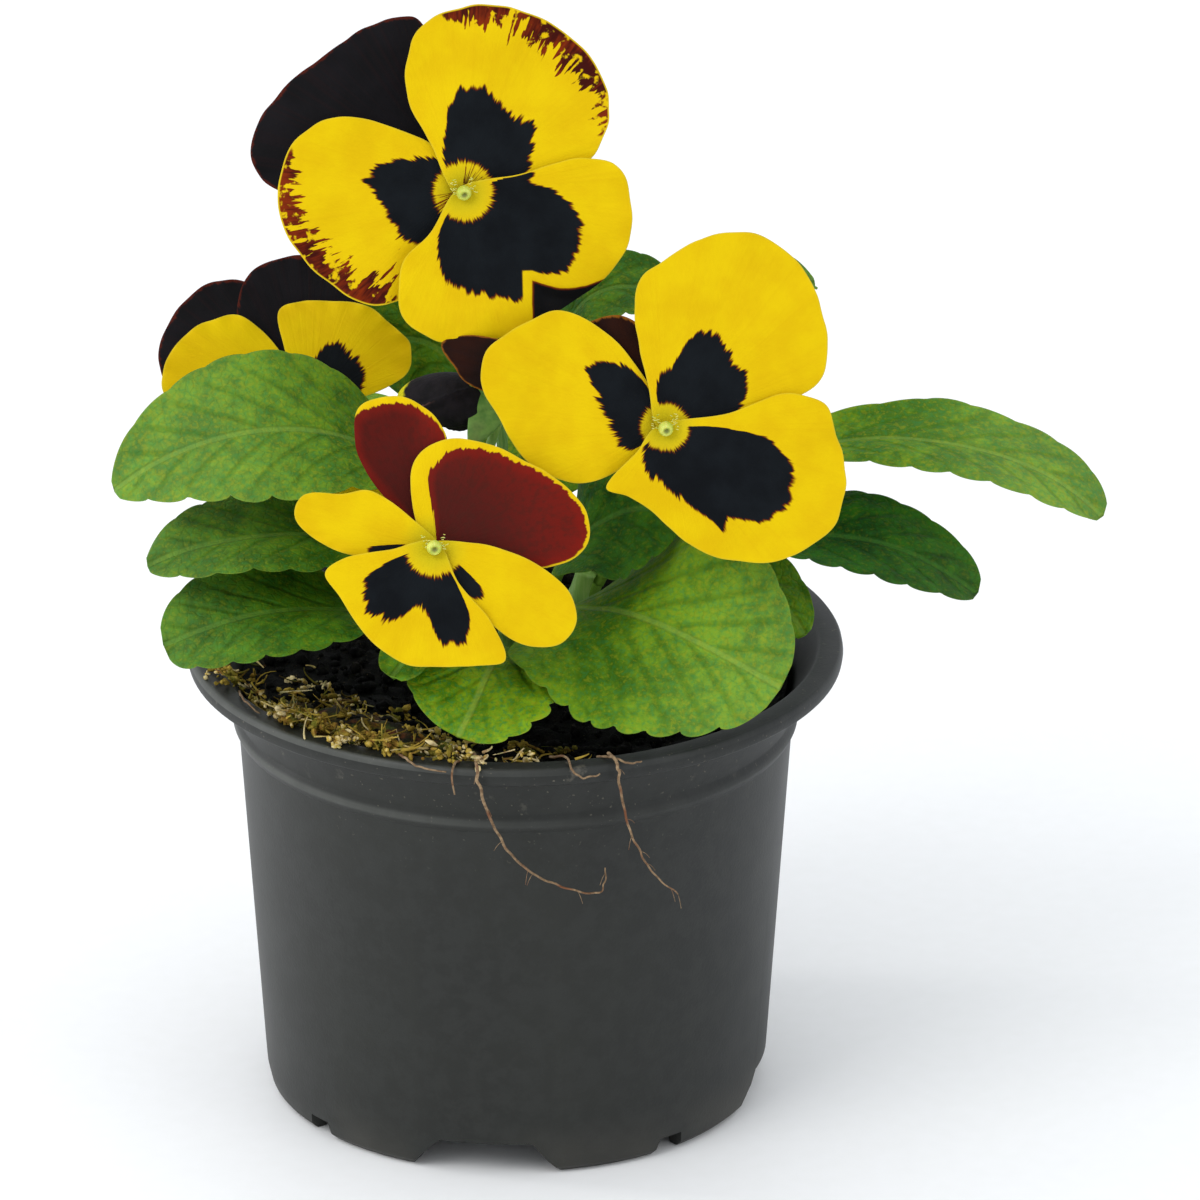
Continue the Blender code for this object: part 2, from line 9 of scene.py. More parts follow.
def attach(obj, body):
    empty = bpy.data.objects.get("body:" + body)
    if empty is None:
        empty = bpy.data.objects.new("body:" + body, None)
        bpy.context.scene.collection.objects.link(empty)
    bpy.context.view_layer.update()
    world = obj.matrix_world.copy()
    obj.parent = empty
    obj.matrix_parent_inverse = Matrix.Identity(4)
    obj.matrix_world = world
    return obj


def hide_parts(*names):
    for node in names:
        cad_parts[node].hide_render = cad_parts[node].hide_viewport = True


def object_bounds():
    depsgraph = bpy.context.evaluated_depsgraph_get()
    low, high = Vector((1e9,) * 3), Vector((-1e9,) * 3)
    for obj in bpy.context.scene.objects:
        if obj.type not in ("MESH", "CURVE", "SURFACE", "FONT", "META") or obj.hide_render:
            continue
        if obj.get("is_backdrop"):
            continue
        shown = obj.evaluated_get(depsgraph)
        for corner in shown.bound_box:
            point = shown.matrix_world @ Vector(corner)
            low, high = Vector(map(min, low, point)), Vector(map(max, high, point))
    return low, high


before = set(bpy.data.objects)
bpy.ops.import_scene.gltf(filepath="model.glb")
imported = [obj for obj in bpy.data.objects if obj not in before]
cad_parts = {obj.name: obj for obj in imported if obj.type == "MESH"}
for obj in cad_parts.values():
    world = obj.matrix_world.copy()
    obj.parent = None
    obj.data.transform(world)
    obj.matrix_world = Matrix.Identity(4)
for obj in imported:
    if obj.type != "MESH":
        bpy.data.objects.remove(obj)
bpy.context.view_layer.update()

MM = 0.001

# ------------------------------------------------------------
# The studio: a pale tabletop that runs out past the view, with a big soft light high on the
# left, a weaker one on the right and a narrow strip that draws the pot's left edge.
# ------------------------------------------------------------
scene = bpy.context.scene
scene.view_settings.view_transform = "Standard"


class Value:
    """A number in a finish, so that its arithmetic can be written as an expression."""

    def __init__(self, finish, socket):
        self.finish = finish
        self.socket = socket

    def maths(self, operation, *others):
        return self.finish.node("ShaderNodeMath", {"operation": operation}, dict(enumerate([self, *others])))

    def __add__(self, other):
        return self.maths("ADD", other)

    __radd__ = __add__

    def __sub__(self, other):
        return self.maths("SUBTRACT", other)

    def __rsub__(self, other):
        return self.maths("MULTIPLY_ADD", -1, other)

    def __mul__(self, other):
        return self.maths("MULTIPLY", other)

    __rmul__ = __mul__

    def __truediv__(self, other):
        return self.maths("DIVIDE", other)

    def __pow__(self, other):
        return self.maths("POWER", other)

    def __abs__(self):
        return self.maths("ABSOLUTE")

    def rise(self, start, end):
        """0 below start, 1 above end and smooth between them; it falls if end is below start."""
        return self.finish.node(
            "ShaderNodeMapRange", {"interpolation_type": "SMOOTHSTEP"},
            {"Value": self, "From Min": start, "From Max": end},
        )


class Finish:
    """A material whose nodes are made in the order that its look is worked out."""

    def __init__(self, name, **constants):
        self.material = bpy.data.materials.new(name)
        self.material.use_nodes = True
        self.tree = self.material.node_tree
        self.shader = self.tree.nodes["Principled BSDF"]
        self.shades(**constants)

    def node(self, kind, settings, sockets, out=0):
        made = self.tree.nodes.new(kind)
        for key, value in settings.items():
            setattr(made, key, value)
        for key, value in sockets.items():
            self.join(value, made.inputs[key])
        return Value(self, made.outputs[out])

    def join(self, value, socket):
        if isinstance(value, Value):
            self.tree.links.new(value.socket, socket)
        else:
            socket.default_value = value

    def shades(self, **sockets):
        """Sets the shader's own sockets, whose names are written with _ for a space."""
        for key, value in sockets.items():
            self.join(value, self.shader.inputs[key.replace("_", " ")])

    def place(self):
        return self.node("ShaderNodeTexCoord", {}, {}, "Object")

    def stretched(self, place, stretch):
        return self.node("ShaderNodeVectorMath", {"operation": "MULTIPLY"}, {0: place, 1: stretch})

    def noise(self, place, per_metre, detail=2, roughness=0.5):
        return self.node(
            "ShaderNodeTexNoise", {},
            {"Vector": place, "Scale": per_metre, "Detail": detail, "Roughness": roughness},
        )

    def mix(self, factor, first, second):
        return self.node(
            "ShaderNodeMix", {"data_type": "RGBA", "clamp_factor": True},
            {0: factor, 6: first, 7: second}, 2,
        )

    def parts(self, vector):
        split = self.node("ShaderNodeSeparateXYZ", {}, {0: vector}).socket.node
        return [Value(self, socket) for socket in split.outputs]

    def stored(self, name, out="Vector"):
        return self.node("ShaderNodeAttribute", {"attribute_name": name}, {}, out)

    def bump(self, height, distance, strength=1.0):
        self.shades(Normal=self.node(
            "ShaderNodeBump", {}, {"Height": height, "Distance": distance, "Strength": strength},
        ))


def paint(red, green, blue):
    """A colour from its values on screen, 0 to 255."""
    return (*Color((red / 255, green / 255, blue / 255)).from_srgb_to_scene_linear(), 1)


def add_piece(name, bm, finish):
    """A smooth-shaded object of this mesh, faces outward."""
    if bm.calc_volume(signed=True) < 0:
        bmesh.ops.reverse_faces(bm, faces=bm.faces)
    mesh = bpy.data.meshes.new(name)
    bm.to_mesh(mesh)
    bm.free()
    mesh.shade_smooth()
    mesh.materials.append(finish.material)
    made = bpy.data.objects.new(name, mesh)
    scene.collection.objects.link(made)
    return made


def light(name, place, towards, size, power, colour=(1, 1, 1)):
    lamp = bpy.data.lights.new(name, "AREA")
    lamp.shape = "RECTANGLE"
    lamp.size, lamp.size_y = size
    lamp.energy = power
    lamp.color = colour
    made = bpy.data.objects.new(name, lamp)
    made.location = place
    made.rotation_euler = (Vector(towards) - Vector(place)).to_track_quat("-Z", "Y").to_euler()
    scene.collection.objects.link(made)


world = bpy.data.worlds.new("studio")
world.use_nodes = True
world.node_tree.nodes["Background"].inputs["Color"].default_value = (0.93, 0.96, 1.0, 1)
world.node_tree.nodes["Background"].inputs["Strength"].default_value = 1.0
scene.world = world

tabletop = Finish("tabletop", Roughness=0.55)
tabletop_grain = tabletop.noise(tabletop.place(), 260, 3)
tabletop.shades(Base_Color=tabletop.mix(tabletop_grain, paint(246, 246, 245), paint(250, 250, 250)))
tabletop.bump(tabletop_grain, 0.00005)
bm = bmesh.new()
bmesh.ops.create_grid(bm, x_segments=4, y_segments=4, size=6)
floor = add_piece("tabletop", bm, tabletop)
floor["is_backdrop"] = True

light("key", (-0.9, -0.9, 1.3), (0.01, 0, 0.1), (0.9, 0.9), 10)
light("fill", (1.3, -0.9, 0.8), (0.01, 0, 0.1), (0.8, 0.8), 3)
light("strip", (-0.75, 0.12, 0.25), (0, 0, 0.06), (0.12, 0.7), 1.6)

camera = bpy.data.cameras.new("camera")
camera.lens = 410.6
camera.sensor_width = 36
camera.clip_start = 0.1
camera.clip_end = 50
scene.camera = bpy.data.objects.new("camera", camera)
looks_down = math.radians(23)
away = 2.5
scene.camera.location = (0.0155, -away * math.cos(looks_down), 0.0947 + away * math.sin(looks_down))
scene.camera.rotation_euler = (math.radians(90) - looks_down, 0, 0)
scene.collection.objects.link(scene.camera)

# ------------------------------------------------------------
# The pot: one thin shell of black moulded plastic with a flat rim, a stepped collar, a foot ring
# with eight gaps and four drain holes. It is matt and a little dusty, most of all near the rim. Its
# colour carries painted light: lighter towards the left, painted shade on the right, and a painted
# highlight along the collar's bead and the rim's outer edge.
# ------------------------------------------------------------
POT_PROFILE = (
    (0, 0), (10, 0), (10.6, 7.2), (40.9, 7.2), (42.1, 0), (43.9, 0), (45.4, 1.3), (46.1, 4.5),
    (50.7, 70.6), (51.3, 71.2), (51.8, 72.3), (51.7, 73.3), (51.1, 74.4), (52.1, 78.5), (53.5, 83.3),
    (58.8, 83.3), (59.8, 83.9), (60, 85.1), (59.8, 86.2), (59.4, 86.8), (55.7, 86.8), (55.1, 86.2),
    (52.3, 82.1), (50.2, 77.5), (49.6, 72.5), (44.9, 9.2), (42.7, 8.4), (0, 8.4),
)


def turned(profile, steps):
    """A closed solid of revolution about Z from (radius, height) points in mm."""
    bm = bmesh.new()
    points = [bm.verts.new((radius * MM, 0, height * MM)) for radius, height in profile]
    edges = [bm.edges.new(pair) for pair in zip(points, points[1:])]
    bmesh.ops.spin(
        bm, geom=points + edges, axis=(0, 0, 1), cent=(0, 0, 0), angle=math.tau, steps=steps,
        use_merge=True, use_duplicate=False,
    )
    bmesh.ops.remove_doubles(bm, verts=bm.verts, dist=1e-6)
    return bm


def on_circle(radius, turn, height=0.0):
    """The point at this radius and height, turned in degrees from -Y towards +X."""
    angle = math.radians(turn)
    return Vector((radius * math.sin(angle), -radius * math.cos(angle), height))


plastic = Finish("pot_plastic", Specular_IOR_Level=0.34)
place = plastic.place()
x, y, z = plastic.parts(place)
cloudy = plastic.noise(place, 26, 3)
streaks = plastic.noise(plastic.stretched(place, (190, 190, 9)), 1, 3, 0.6)
grain = plastic.noise(place, 1900, 2)
dusty = plastic.noise(place, 240, 4, 0.7)
to_left = x.rise(0.04, -0.04)
shade = plastic.mix(cloudy.rise(0.35, 0.7), paint(19, 21, 18), paint(27, 29, 25))
# Painted shade: the right side of the pot is darker and bluer.
shade = plastic.mix(x.rise(0.0, 0.055) * 0.6, shade, paint(17, 22, 24))
shade = plastic.mix(dusty.rise(0.40, 0.62) * 0.5, shade, paint(34, 36, 34))
# Painted light: the pot is lighter towards the left. The random vertical streaks added here are the plastic's
# own marks.
shade = plastic.mix(to_left * 0.12 + streaks.rise(0.45, 0.8) * 0.12, shade, paint(46, 48, 43))
# Painted highlight: a lighter band along the collar's bead and the rim's outer top edge, strongest on the
# left and fading to the right.
bead = z.rise(0.0716, 0.0724) * z.rise(0.0738, 0.0730)
rim_top_radius = (x * x + y * y) ** 0.5 * z.rise(0.0846, 0.0858)
painted_highlight = (bead + rim_top_radius.rise(0.0585, 0.0593)) * (0.04 + 0.34 * x.rise(0.02, -0.04)) * (0.6 + streaks)
shade = plastic.mix(painted_highlight, shade, paint(98, 100, 95))
specks = plastic.noise(place, 1400, 1).rise(0.72, 0.76) * z.rise(0.055, 0.088)
smears = plastic.noise(place, 210, 4, 0.65).rise(0.62, 0.72) * z.rise(0.064, 0.086)
shade = plastic.mix(specks * 0.5 + smears * 0.3, shade, paint(118, 113, 100))
shade = plastic.mix(z.rise(0.012, 0.0) * cloudy.rise(0.4, 0.6) * 0.4, shade, paint(76, 73, 66))
plastic.shades(Base_Color=shade, Roughness=0.40 + 0.22 * cloudy + 0.25 * specks)
plastic.bump(grain + streaks * 0.2, 0.00005, 0.6)

bm = turned(POT_PROFILE, 144)
creases = [edge for edge in bm.edges if edge.is_manifold and edge.calc_face_angle() > math.radians(28)]
bmesh.ops.bevel(
    bm, geom=creases, affect="EDGES", offset=0.00022, segments=2, profile=0.5, material=-1,
    clamp_overlap=True,
)
pot = add_piece("pot_shell", bm, plastic)
bm = bmesh.new()
for index in range(4):
    wide_gap = -6.6 + 90 * index
    for turn, low, high, tall in ((wide_gap, 18, 10.6, 6.6), (wide_gap + 45, 4, 3, 3.6)):
        for corner in bmesh.ops.create_cube(bm, size=1)["verts"]:
            level = tall if corner.co.z > 0 else -2
            side = math.copysign(low + (high - low) * level / tall, corner.co.x)
            radius = 0.0385 if corner.co.y > 0 else 0.0520
            corner.co = on_circle(radius, turn + side, level * MM)
    bmesh.ops.create_cone(
        bm, cap_ends=True, segments=32, radius1=0.0045, radius2=0.0045, depth=0.0048,
        matrix=Matrix.Translation(on_circle(0.026, wide_gap, 0.0072)),
    )
gaps = add_piece("gap_cutter", bm, plastic)
cut = pot.modifiers.new("gaps", "BOOLEAN")
cut.operation = "DIFFERENCE"
cut.object = gaps
pot.data = bpy.data.meshes.new_from_object(pot.evaluated_get(bpy.context.evaluated_depsgraph_get()))
pot.modifiers.clear()
bpy.data.objects.remove(gaps)
pot.data.set_sharp_from_angle(angle=math.radians(40))
soft_edges = pot.modifiers.new("soft_edges", "BEVEL")
soft_edges.width = 0.0002
soft_edges.segments = 2
soft_edges.limit_method = "ANGLE"
soft_edges.angle_limit = math.radians(50)
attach(pot, "root")
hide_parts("pot")

# ------------------------------------------------------------
# The compost: fine dark peat that fills the pot to just under its rim. It is a little lumpy,
# heaped at the front left, and loose crumbs lie on it.
# ------------------------------------------------------------


SOIL_LEVEL = 79.0  # mm, at the shoots


def soil_height(x, y):
    """The compost's surface, in metres: flat at the shoots and lumpy outside."""
    out = math.hypot(x, y)
    lumpy = min(1, max(0, out - 0.016) / 0.010)
    lump = 0.0016 * noise.noise(Vector((x, y, 0)) / 0.009)
    heap = 0.0045 * math.exp(-((x + 0.028) ** 2 + (y + 0.036) ** 2) / 0.020 ** 2)
    return SOIL_LEVEL * MM + lumpy * (lump + heap)


def soil_finish(name):
    peat = Finish(name, Specular_IOR_Level=0.08)
    place = peat.place()
    crumbs = peat.noise(place, 900, 4, 0.7)
    patches = peat.noise(place, 160, 3, 0.6)
    shade = peat.mix(crumbs.rise(0.35, 0.7), paint(5, 6, 6), paint(19, 19, 17))
    shade = peat.mix(patches.rise(0.52, 0.75) * 0.5, shade, paint(38, 32, 24))
    shade = peat.mix(peat.noise(place, 2400, 1).rise(0.72, 0.78) * 0.5, shade, paint(104, 90, 64))
    peat.shades(Base_Color=shade, Roughness=0.80 + 0.18 * crumbs)
    peat.bump(crumbs + peat.noise(place, 2600, 3) * 0.5, 0.0008, 0.9)
    return peat


peat = soil_finish("compost")
across = [49.9, *(49.5 - step * 0.75 for step in range(66)), 0]
surface = [(radius, SOIL_LEVEL) for radius in across]
bm = turned([(0, 8.7), (42.4, 8.7), (44.3, 9.5), (48.9, 72.5), *surface], 128)
for vertex in bm.verts:
    if vertex.co.z > 0.0785:
        here = vertex.co.copy()
        clods = abs(noise.noise(here / 0.0042)) * 0.0016 + noise.noise(here / 0.0016) * 0.0005
        vertex.co.z = soil_height(here.x, here.y) + clods
bed = add_piece("compost_bed", bm, peat)
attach(bed, "root")
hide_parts("compost")

dice = random.Random(11)
bm = bmesh.new()
for _ in range(1500):
    spot = on_circle(0.0485 * math.sqrt(dice.random()), dice.uniform(0, 360))
    size = 0.0004 + 0.0011 * dice.random() ** 3
    lie = Matrix.Rotation(dice.uniform(0, 6), 4, (dice.random(), dice.random(), 1))
    shape = Matrix.Diagonal((size * dice.uniform(0.7, 1.6), size, size * dice.uniform(0.5, 1), 1))
    spot.z = soil_height(spot.x, spot.y) + size * 0.6 + 0.0004
    bmesh.ops.create_icosphere(bm, subdivisions=1, radius=1, matrix=Matrix.Translation(spot) @ lie @ shape)
crumb_pile = add_piece("compost_crumbs", bm, soil_finish("crumbs"))
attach(crumb_pile, "root")

# ------------------------------------------------------------
# Moss and straw: a low cushion of dry moss along the front left of the rim, matted with short
# dead stems and fibres. Some of them stick up, and a few hang over the rim.
# ------------------------------------------------------------


def spindle(bm, rounds, stations, lay):
    """A closed shape from pole to pole: lay(vertex, angle, share) puts each point in place."""
    for vertex in bmesh.ops.create_uvsphere(bm, u_segments=rounds, v_segments=stations, radius=1)["verts"]:
        share = math.acos(max(-1, min(1, -vertex.co.z))) / math.pi
        lay(vertex, math.atan2(vertex.co.y, vertex.co.x), share)


def rod(bm, route, radius, rounds=10, side=(1, 0, 0), tone=None):
    """A closed round stem along the route, whose radius depends on the share of the way."""
    stations, last, side = len(route) + 1, len(route) - 1, Vector(side)
    stored = bm.verts.layers.float.get("tone") or bm.verts.layers.float.new("tone")

    def lay(vertex, angle, share):
        index = min(last, max(0, round(share * stations) - 1))
        way = (route[min(index + 1, last)] - route[max(index - 1, 0)]).normalized()
        across = (side - way * side.dot(way)).normalized()
        wide = radius(index / last) if 0 < share < 1 else 0
        ring = across * math.cos(angle) + way.cross(across) * math.sin(angle)
        vertex.co = route[index] + ring * wide
        vertex[stored] = index / last if tone is None else tone

    spindle(bm, rounds, stations, lay)


dry = Finish("moss_and_straw", Specular_IOR_Level=0.15)
tone = dry.stored("tone", "Fac")
place = dry.place()
shade = dry.mix(tone.rise(0.0, 0.4), paint(26, 25, 13), paint(122, 102, 32))
shade = dry.mix(tone.rise(0.4, 0.75), shade, paint(186, 158, 66))
shade = dry.mix(tone.rise(0.75, 1.0), shade, paint(222, 204, 154))
shade = dry.mix(dry.noise(place, 420, 3, 0.6).rise(0.50, 0.72) * 0.7, shade, paint(112, 58, 30))
shade = dry.mix(dry.noise(place, 260, 2).rise(0.52, 0.66) * 0.5, shade, paint(92, 108, 34))
shade = dry.mix(dry.noise(place, 800, 2).rise(0.5, 0.8) * 0.5, shade, paint(58, 46, 22))
dry.shades(Base_Color=shade, Roughness=0.85 + 0.1 * tone)
dry.bump(dry.noise(place, 2600, 3), 0.0004, 0.7)


def ground(x, y):
    """The height of what lies under this place: the compost, the collar's inside or the rim."""
    return min(0.0868, soil_height(x, y) + 1.5 * max(0, math.hypot(x, y) - 0.0500))


bm = bmesh.new()
cushion_tone = bm.verts.layers.float.new("tone")


def lay_cushion(vertex, angle, share):
    turn = -78 + 82 * share
    wide = math.sin(math.pi * share) ** 0.6
    place = on_circle(0.045 + 0.0068 * wide * math.cos(angle), turn)
    rough = noise.noise(place / 0.0022) * 0.0007 + noise.noise(place / 0.0055) * 0.0012
    rise = 0.0002 + wide * (0.0018 * (0.5 + 0.5 * math.sin(angle)) + rough)
    vertex.co = (place.x, place.y, soil_height(place.x, place.y) + rise)
    vertex[cushion_tone] = 0.06 + 0.2 * noise.noise(place / 0.004)


spindle(bm, 40, 140, lay_cushion)
cushion = add_piece("moss_cushion", bm, dry)
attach(cushion, "root")
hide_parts("moss")

bm = bmesh.new()
for _ in range(520):
    turn = dice.triangular(-96, 26, -44)
    spot = on_circle(dice.triangular(0.032, 0.0590, 0.0545), turn)
    if noise.noise(spot / 0.0042) < 0.02:
        continue
    spot.z = ground(spot.x, spot.y) + dice.uniform(0.0008, 0.0028)
    length = dice.triangular(0.0015, 0.0085, 0.0032)
    heading = dice.uniform(0, math.tau)
    climb = dice.triangular(-0.25, 1.4, 0.05)
    way = Vector((math.cos(heading), math.sin(heading), climb)).normalized()
    bend = Vector((dice.uniform(-1, 1), dice.uniform(-1, 1), dice.uniform(-0.3, 0.5))) * 0.8
    route = [spot + (way * (step / 5 - 0.5) + bend * (step / 5 - 0.5) ** 2) * length for step in range(6)]
    for point in route:
        point.z = max(point.z, ground(point.x, point.y) + 0.0004)
    thick = dice.triangular(0.00012, 0.00042, 0.00020)
    rod(bm, route, lambda share: thick * (1 - 0.6 * share), 4, (0.3, 0.2, 1), dice.random() ** 0.8)
straw = add_piece("moss_straw", bm, dry)
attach(straw, "root")

bm = bmesh.new()
tuft_tone = bm.verts.layers.float.new("tone")
for _ in range(210):
    turn = dice.triangular(-94, 24, -42)
    middle = on_circle(dice.triangular(0.030, 0.0590, 0.0550), turn)
    if noise.noise(middle / 0.0042) < 0.0:
        continue
    heap, brightness = dice.uniform(0.4, 1.3), dice.uniform(0.3, 1.0)
    for _ in range(dice.randint(8, 26)):
        spot = middle + Vector((dice.gauss(0, 0.0013), dice.gauss(0, 0.0013), 0)) * heap
        spot.z = ground(spot.x, spot.y) + 0.0004 + 0.0022 * heap * dice.random() ** 2
        size = 0.00022 + 0.00055 * dice.random() ** 2
        lie = Matrix.Rotation(dice.uniform(0, 6), 4, (dice.random(), dice.random(), 1))
        shape = Matrix.Diagonal((size * dice.uniform(1, 2.4), size, size * dice.uniform(0.6, 1), 1))
        crumb = bmesh.ops.create_icosphere(
            bm, subdivisions=1, radius=1, matrix=Matrix.Translation(spot) @ lie @ shape
        )
        for vertex in crumb["verts"]:
            vertex[tuft_tone] = brightness + dice.uniform(-0.2, 0.2)
tufts = add_piece("moss_tufts", bm, dry)
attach(tufts, "root")

# ------------------------------------------------------------
# Loose roots: two long tan roots and a few short ones have come out over the rim. They taper,
# wander a little and carry fine side hairs.
# ------------------------------------------------------------
ROOTS = {
    "left": (
        (-7, -54, 87.6), (-6.5, -60.2, 87.6), (-6, -61.3, 84), (-3, -58, 74), (1.5, -54.5, 66),
        (8, -53.5, 61.5), (15.5, -52.8, 60), (16.5, -52.6, 64.5),
    ),
    "right": (
        (17, -53.5, 87.6), (18.5, -57.6, 87.6), (19, -58.8, 84), (21, -55.5, 73), (24.5, -51.5, 64),
        (29.5, -48.5, 57.5),
    ),
}


def smooth_route(points, per_span):
    """Points on a smooth curve through the given ones, per_span of them to each span."""
    points = [Vector(point) for point in points]
    ends = [2 * points[0] - points[1], *points, 2 * points[-1] - points[-2]]
    route = []
    for before, start, end, after in zip(ends, ends[1:], ends[2:], ends[3:]):
        for step in range(per_span):
            t = step / per_span
            route.append(
                0.5 * (2 * start + (end - before) * t
                + (2 * before - 5 * start + 4 * end - after) * t * t
                + (3 * start - before - 3 * end + after) * t ** 3)
            )
    return route + [points[-1]]


rooty = Finish("root", Specular_IOR_Level=0.25)
place = rooty.place()
bark = rooty.noise(place, 900, 3, 0.6)
shade = rooty.mix(bark.rise(0.3, 0.7), paint(96, 74, 52), paint(152, 128, 98))
shade = rooty.mix(rooty.noise(place, 190, 2).rise(0.5, 0.7) * 0.8, shade, paint(104, 56, 30))
rooty.shades(Base_Color=shade, Roughness=0.72 + 0.2 * bark)
rooty.bump(bark, 0.0002, 0.8)
for name, points in ROOTS.items():
    bm = bmesh.new()
    route = smooth_route([Vector(point) * MM for point in points], 12)
    for index, point in enumerate(route[12:], 12):
        point.x += 0.00045 * noise.noise(Vector((index * 0.23, len(name), 0)))
        point.z += 0.00045 * noise.noise(Vector((index * 0.23, len(name), 5)))
    rod(bm, route, lambda share: 0.00034 - 0.00021 * share, 8, (0.3, 0.1, 0.2))
    for _ in range(7):
        start = dice.choice(route[14:])
        way = Vector((dice.uniform(-1, 1), dice.uniform(-0.15, 0.1), dice.uniform(-1, 0.3))).normalized()
        hair = [start + way * (0.0004 * step) + Vector((0, 0, -0.00008)) * step ** 2 for step in range(5)]
        rod(bm, hair, lambda share: 0.00005, 4, (0.2, 1, 0.1))
    root = add_piece(f"loose_root_{name}", bm, rooty)
    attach(root, "root")
    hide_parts(f"root_{name}")

SHORT_ROOTS = (
    ((6.5, -51, 86.0), (9.5, -55, 87.5), (10.5, -60.3, 87.2), (12.5, -60.9, 86.0), (15.5, -60.2, 86.4)),
    ((15, -52, 86.2), (18, -56, 87.8), (20.5, -57.5, 87.4), (23, -57, 87.4)),
    ((-21, -50, 86.5), (-19.5, -55.5, 87.5), (-16.5, -58.5, 87.0), (-12, -59.8, 86.6)),
    ((-9, -53, 86), (-10.5, -58.0, 87.5), (-11, -60.6, 86.0), (-10.5, -60.6, 82.5)),
    ((-50, -22, 86), (-49, -29, 87.6), (-46, -35, 87.2)),
)
bm = bmesh.new()
for points in SHORT_ROOTS:
    route = smooth_route([Vector(point) * MM for point in points], 8)
    for index, point in enumerate(route):
        point.z += 0.0004 * noise.noise(Vector((index * 0.4, points[0][0], 0)))
    rod(bm, route, lambda share: 0.00026 - 0.00012 * share, 8, (0.3, 0.1, 0.2))
short_roots = add_piece("short_roots", bm, rooty)
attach(short_roots, "root")

# ------------------------------------------------------------
# The plant's four short green shoots, ribbed and a little swollen where a leaf stalk leaves.
# They stand in the compost round the pot's middle, and every leaf and flower stalk starts on one.
# ------------------------------------------------------------
SHOOTS = {
    "left": ((-6, -2), (-10, -2, 101)),
    "front": ((2, -7), (3, -12, 97)),
    "right": ((8, 1), (13, 1, 100)),
    "back": ((-1, 7), (-2, 9, 104)),
}


def shoot_ends(shoot):
    (x, y), tip = SHOOTS[shoot]
    return Vector((x, y, 79.6)) * MM, Vector(tip) * MM


def stem_finish(name, pale, deep):
    green = Finish(name, Specular_IOR_Level=0.4)
    place = green.place()
    ribs = green.noise(green.stretched(place, (2600, 2600, 90)), 1, 2)
    cloudy = green.noise(place, 120, 2)
    shade = green.mix(cloudy.rise(0.3, 0.7), deep, pale)
    shade = green.mix(ribs.rise(0.4, 0.7) * 0.4, shade, paint(150, 176, 96))
    green.shades(Base_Color=shade, Roughness=0.42 + 0.2 * ribs)
    green.bump(ribs, 0.0002, 0.7)
    return green


stem = stem_finish("stem", paint(120, 160, 70), paint(84, 130, 52))
for shoot in SHOOTS:
    foot, tip = shoot_ends(shoot)
    middle = foot.lerp(tip, 0.5)
    middle.xy = foot.xy.lerp(tip.xy, 0.35)
    route = smooth_route([foot - Vector((0, 0, 0.002)), foot + Vector((0, 0, 0.003)), middle, tip], 14)
    bm = bmesh.new()
    rod(bm, route, lambda share: 0.0020 + 0.0003 * math.sin(share * 17) ** 6 - 0.0002 * share, 20)
    stub = add_piece(f"green_shoot_{shoot}", bm, stem)
    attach(stub, "root")
    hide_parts(f"shoot_{shoot}")
